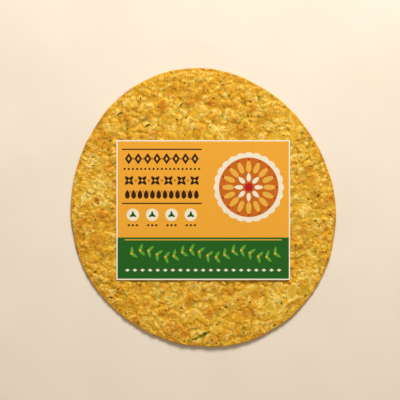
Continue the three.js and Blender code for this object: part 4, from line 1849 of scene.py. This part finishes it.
@dataclass
class Card:
    """The printed card: a sheet of stock, two fields of colour, and an ornament of plain shapes.

    A print is a piece's name, its motif's outline, the print layer that it lies in, its ink, and the
    motif's spots, from the card's middle.
    """

    low: Array
    high: Array
    corner: float = 0.8
    field_corner: float = 0.12
    margin: float = 0.9
    green_top: float = -19.9
    layer: float = 0.015
    layers: int = 5
    overlap: float = 1.5
    panel: complex = -30 + 24.4j
    panel_width: float = 54.0
    plate_middle: complex = 33 + 16.5j
    medal_row: complex = -30 - 3.4j
    garland_row: complex = -31.6j
    border_row: complex = -43.6j
    inks: dict[Ink, Material] = field(default_factory=dict)

    def build(self) -> None:
        """Build the sheet and its print."""
        self.inks = {ink: CardFinish(f"card_{ink.name.lower()}", ink=ink).material() for ink in Ink}
        width, depth, _ = self.high - self.low
        stock_top = self.high[2] - self.layers * self.layer
        sheet = self.plate("card_sheet", Motif.bar(width, depth, self.corner), self.low[2], stock_top)
        self.lay(sheet, Ink.STOCK)
        half = depth / 2 - self.margin
        for name, ink, foot, head in (("print_orange_field", Ink.ORANGE, self.green_top, half),
                                      ("print_green_field", Ink.GREEN, -half, self.green_top)):
            outline = Motif.bar(width - 2 * self.margin, head - foot, self.field_corner)
            self.lay(self.plate(name, outline, *self.level(1)), ink, 0.5j * (foot + head))
        for prints in (self.block_print(), self.rosette(), self.medals(), self.garland(), self.border(width)):
            for name, outline, level, ink, spots in prints:
                motif = self.plate(f"{name}_motif", outline, *self.level(level))
                self.lay(repeated(name, motif, spots, self.inks[ink]), ink)

    def level(self, number: int) -> Range:
        """Return the bottom and top of a print layer, counted from 1."""
        top = self.high[2] - (self.layers - number) * self.layer
        return top - self.overlap * self.layer, top

    def lay(self, piece: Object, ink: Ink, at: complex = 0j) -> None:
        """Lay a finished piece on the card.

        Args:
            piece: The piece, round the origin.
            ink: What it is dressed in, if it is bare.
            at: Its place on the card.
        """
        x, y, _ = (self.low + self.high) / 2
        piece.data.transform(Matrix.Translation(((x + at.real) * MM, (y + at.imag) * MM, 0)))
        if not piece.data.materials:
            piece.data.materials.append(self.inks[ink])
        settle(piece, CARD_NODE)

    @staticmethod
    def plate(name: str, outline: list[complex], bottom: float, top: float) -> Object:
        """Make a thin closed plate of an outline that its own middle can see all of.

        Args:
            name: The plate's name.
            outline: Its outline, counter-clockwise.
            bottom: Height of its lower face.
            top: Height of its upper face.

        Returns:
            The plate.
        """
        count = len(outline)
        points = [(p.real, p.imag, z) for z in (top, bottom) for p in outline] + [(0, 0, top), (0, 0, bottom)]
        faces = []
        for a, b in zip(range(count), [*range(1, count), 0]):
            faces += [(a, b, 2 * count), (count + b, count + a, 2 * count + 1), (a, count + a, count + b, b)]
        return mesh_object(name, points, faces)

    def block_print(self) -> list[Print]:
        """Lay out the dark rows of block-print motifs at the upper left.

        Returns:
            Its prints.
        """
        at, width = self.panel, self.panel_width
        rules = [Spot(at - 19.6j), Spot(at + 19.6j)]
        lozenges, flowers = at + 12.8j, row(at - 3j, 6, width - 6.5)
        drops, dot_width = at - 13j, (width - 4) * 10 / 11
        petals = [
            spot for flower in flowers
            for spot in ring_of(flower.place, 2.2, [math.pi / 4 + t for t in turns(4)], 4.2, 3.0)
        ]
        return [
            ("print_rules", Motif.bar(width + 4, 0.9), 2, Ink.BROWN, rules),
            ("print_lozenges", Motif.diamond(), 2, Ink.BROWN, row(lozenges, 8, width - 6, 5.6, 8.2)),
            ("print_lozenge_hearts", Motif.diamond(), 3, Ink.GOLD, row(lozenges, 8, width - 6, 2.0, 3.0)),
            ("print_lozenge_dots", Motif.disc(0.75, 16), 2, Ink.RUST, row(lozenges, 7, (width - 6) * 6 / 7)),
            ("print_seeds", Motif.disc(0.8, 16), 2, Ink.BROWN, row(at + 5.4j, 19, width)),
            ("print_flowers", Motif.petal(24), 2, Ink.BROWN, petals),
            ("print_flower_dots", Motif.disc(0.9, 16), 3, Ink.GOLD, flowers),
            ("print_buds", Motif.disc(0.9, 16), 2, Ink.RUST, row(at - 3j, 5, (width - 6.5) * 0.8)),
            ("print_drops", Motif.petal(24), 2, Ink.BROWN, row(drops, 12, width - 4, 6.4, 4.2, 90)),
            ("print_drop_dots", Motif.disc(0.7, 16), 2, Ink.RUST, row(drops + 1.8j, 11, dot_width)),
        ]

    def rosette(self) -> list[Print]:
        """Lay out the round ornament: a scalloped plate, a rust disc, petals and a red heart.

        Returns:
            Its prints.
        """
        at = self.plate_middle
        return [
            ("print_plate", Motif.scalloped(25.5, 24, 1.3), 2, Ink.CREAM, [Spot(at)]),
            ("print_disc", Motif.disc(21.6, 96), 3, Ink.RUST, [Spot(at)]),
            ("print_petals_outer", Motif.petal(), 4, Ink.GOLD, ring_of(at, 15.6, turns(16), 9.6, 4.6)),
            ("print_petals_inner", Motif.petal(), 4, Ink.CREAM, ring_of(at, 7.4, turns(8), 6.4, 3.8)),
            ("print_heart", Motif.disc(3.1), 5, Ink.RED, [Spot(at)]),
            ("print_heart_dots", Motif.disc(0.5, 16), 5, Ink.RED, ring_of(at, 19.9, turns(16), 1.5, 1.5)),
        ]

    def medals(self) -> list[Print]:
        """Lay out the row of small leaf medals with three small diamonds under each.

        Returns:
            Its prints.
        """
        medals = row(self.medal_row, 4, 42.0)
        angles = [math.radians(degrees) for degrees in (90, 205, 335)]
        leaves = [spot for medal in medals for spot in ring_of(medal.place - 0.2j, 1.25, angles, 3.3, 2.1)]
        trios = [spot for medal in medals for spot in row(medal.place - 7.6j, 3, 5.8, 2.3, 1.9)]
        return [
            ("print_medals", Motif.disc(4.5, 40), 2, Ink.CREAM, medals),
            ("print_medal_leaves", Motif.petal(), 3, Ink.GREEN, leaves),
            ("print_medal_diamonds", Motif.diamond(), 2, Ink.BROWN, trios),
        ]

    def garland(self, reach: float = 104.0, waves: int = 3, swing: float = 2.6) -> list[Print]:
        """Return the garland of leaf pairs along a wavy line on the green field.

        Args:
            reach: How wide the line is.
            waves: How many waves it has.
            swing: How high they are.

        Returns:
            Its prints.
        """
        leaves, dots = [], []
        for k, flat in enumerate(row(self.garland_row, 18, reach)):
            phase = waves * 2 * math.pi * k / 17
            lean = math.atan2(swing * math.cos(phase) * waves * 2 * math.pi, reach)
            dots.append(Spot(flat.place + 1j * swing * math.sin(phase)))
            turned = [lean + side * math.radians(58) for side in (1, -1)]
            leaves += ring_of(dots[-1].place, 2.5, turned, 5.4, 2.6)
        return [
            ("print_garland", Motif.petal(), 2, Ink.LEAF, leaves),
            ("print_garland_dots", Motif.disc(0.85, 20), 3, Ink.GOLD, dots),
        ]

    def border(self, width: float) -> list[Print]:
        """Lay out the row of cream diamonds at the foot and the thin gold line below the orange field.

        Args:
            width: The card's width.

        Returns:
            Its prints.
        """
        line = [Spot(1j * (self.green_top - 1.7))]
        return [
            ("print_diamonds", Motif.diamond(), 2, Ink.CREAM, row(self.border_row, 21, width - 16, 3.4, 2.2)),
            ("print_line", Motif.bar(width - 12, 0.7), 2, Ink.GOLD, line),
        ]


# The studio


@dataclass
class Studio:
    """A pale floor, soft light from beyond the card's top edge, and a camera looking straight down."""

    relief: Relief
    view_side: float = 290.4
    view_centre: complex = -2.24 + 6.37j
    subject_height: float = 2.6
    distance: float = 750.0
    sensor: float = 36.0
    floor_side: float = 3000.0
    light_distance: float = 1.35
    key_azimuth: float = 80.0
    key_elevation: float = 36.0
    key_size: float = 0.47
    key_power: float = 19.8
    key_tint: Rgb = (255, 252, 246)
    fill_elevation: float = 62.0
    fill_size: float = 1.0
    fill_power: float = 0.6
    fill_tint: Rgb = (255, 250, 244)
    sky_power: float = 0.28
    sky_tint: Rgb = (255, 236, 204)

    def build(self) -> None:
        """Build the floor, the lights and the camera."""
        half = self.floor_side / 2
        corners = [(x * half, y * half, 0.0) for x, y in ((-1, -1), (1, -1), (1, 1), (-1, 1))]
        floor = mesh_object("studio_floor", corners, [(0, 1, 2, 3)])
        floor.data.materials.append(FLOOR_STONE.material())
        self.light("key", self.key_azimuth, self.key_elevation, self.key_size, self.key_power, self.key_tint)
        away = self.key_azimuth + 180
        self.light("fill", away, self.fill_elevation, self.fill_size, self.fill_power, self.fill_tint)
        world = bpy.data.worlds.new("studio")
        world.use_nodes = True
        sky = world.node_tree.nodes["Background"].inputs
        sky["Color"].default_value, sky["Strength"].default_value = linear(self.sky_tint), self.sky_power
        bpy.context.scene.world = world
        bpy.context.scene.view_settings.view_transform = "Standard"
        self.camera()

    def light(self, name: str, azimuth: float, elevation: float, size: float, power: float,
              tint: Rgb) -> None:
        """Hang a square soft light that looks at the bread.

        Args:
            name: The light's name.
            azimuth: Its direction in degrees counter-clockwise from +X.
            elevation: Its height above the floor in degrees.
            size: Its side in metres.
            power: Its power in watts.
            tint: Its colour.
        """
        lamp = bpy.data.lights.new(name, "AREA")
        lamp.size, lamp.energy, lamp.color = size, power, linear(tint)[:3]
        turn, rise = math.radians(azimuth), math.radians(elevation)
        toward = Vector((math.cos(turn) * math.cos(rise), math.sin(turn) * math.cos(rise), math.sin(rise)))
        holder = bpy.data.objects.new(name, lamp)
        holder.location = toward * self.light_distance
        holder.rotation_euler = toward.to_track_quat("Z", "Y").to_euler()
        bpy.context.scene.collection.objects.link(holder)

    def camera(self) -> None:
        """Hang the camera straight above the photograph's middle."""
        lens = bpy.data.cameras.new("camera")
        lens.sensor_width = self.sensor
        lens.lens = self.sensor * self.distance / self.view_side
        holder = bpy.data.objects.new("camera", lens)
        at = self.view_centre - self.relief.middle()
        holder.location = Vector((at.real, at.imag, self.subject_height + self.distance)) * MM
        bpy.context.scene.collection.objects.link(holder)
        bpy.context.scene.camera = holder


def main() -> None:
    """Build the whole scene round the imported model."""
    logging.basicConfig(level=logging.INFO, format="%(name)s: %(message)s")
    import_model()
    relief = Relief()
    bread = Bread(relief).build()
    Leaves(relief, bread).build()
    Bran(relief, bread).build()
    Card(*(np.array(corner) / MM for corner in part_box(CARD_NODE))).build()
    Studio(relief).build()


if __name__ == "__main__":
    main()
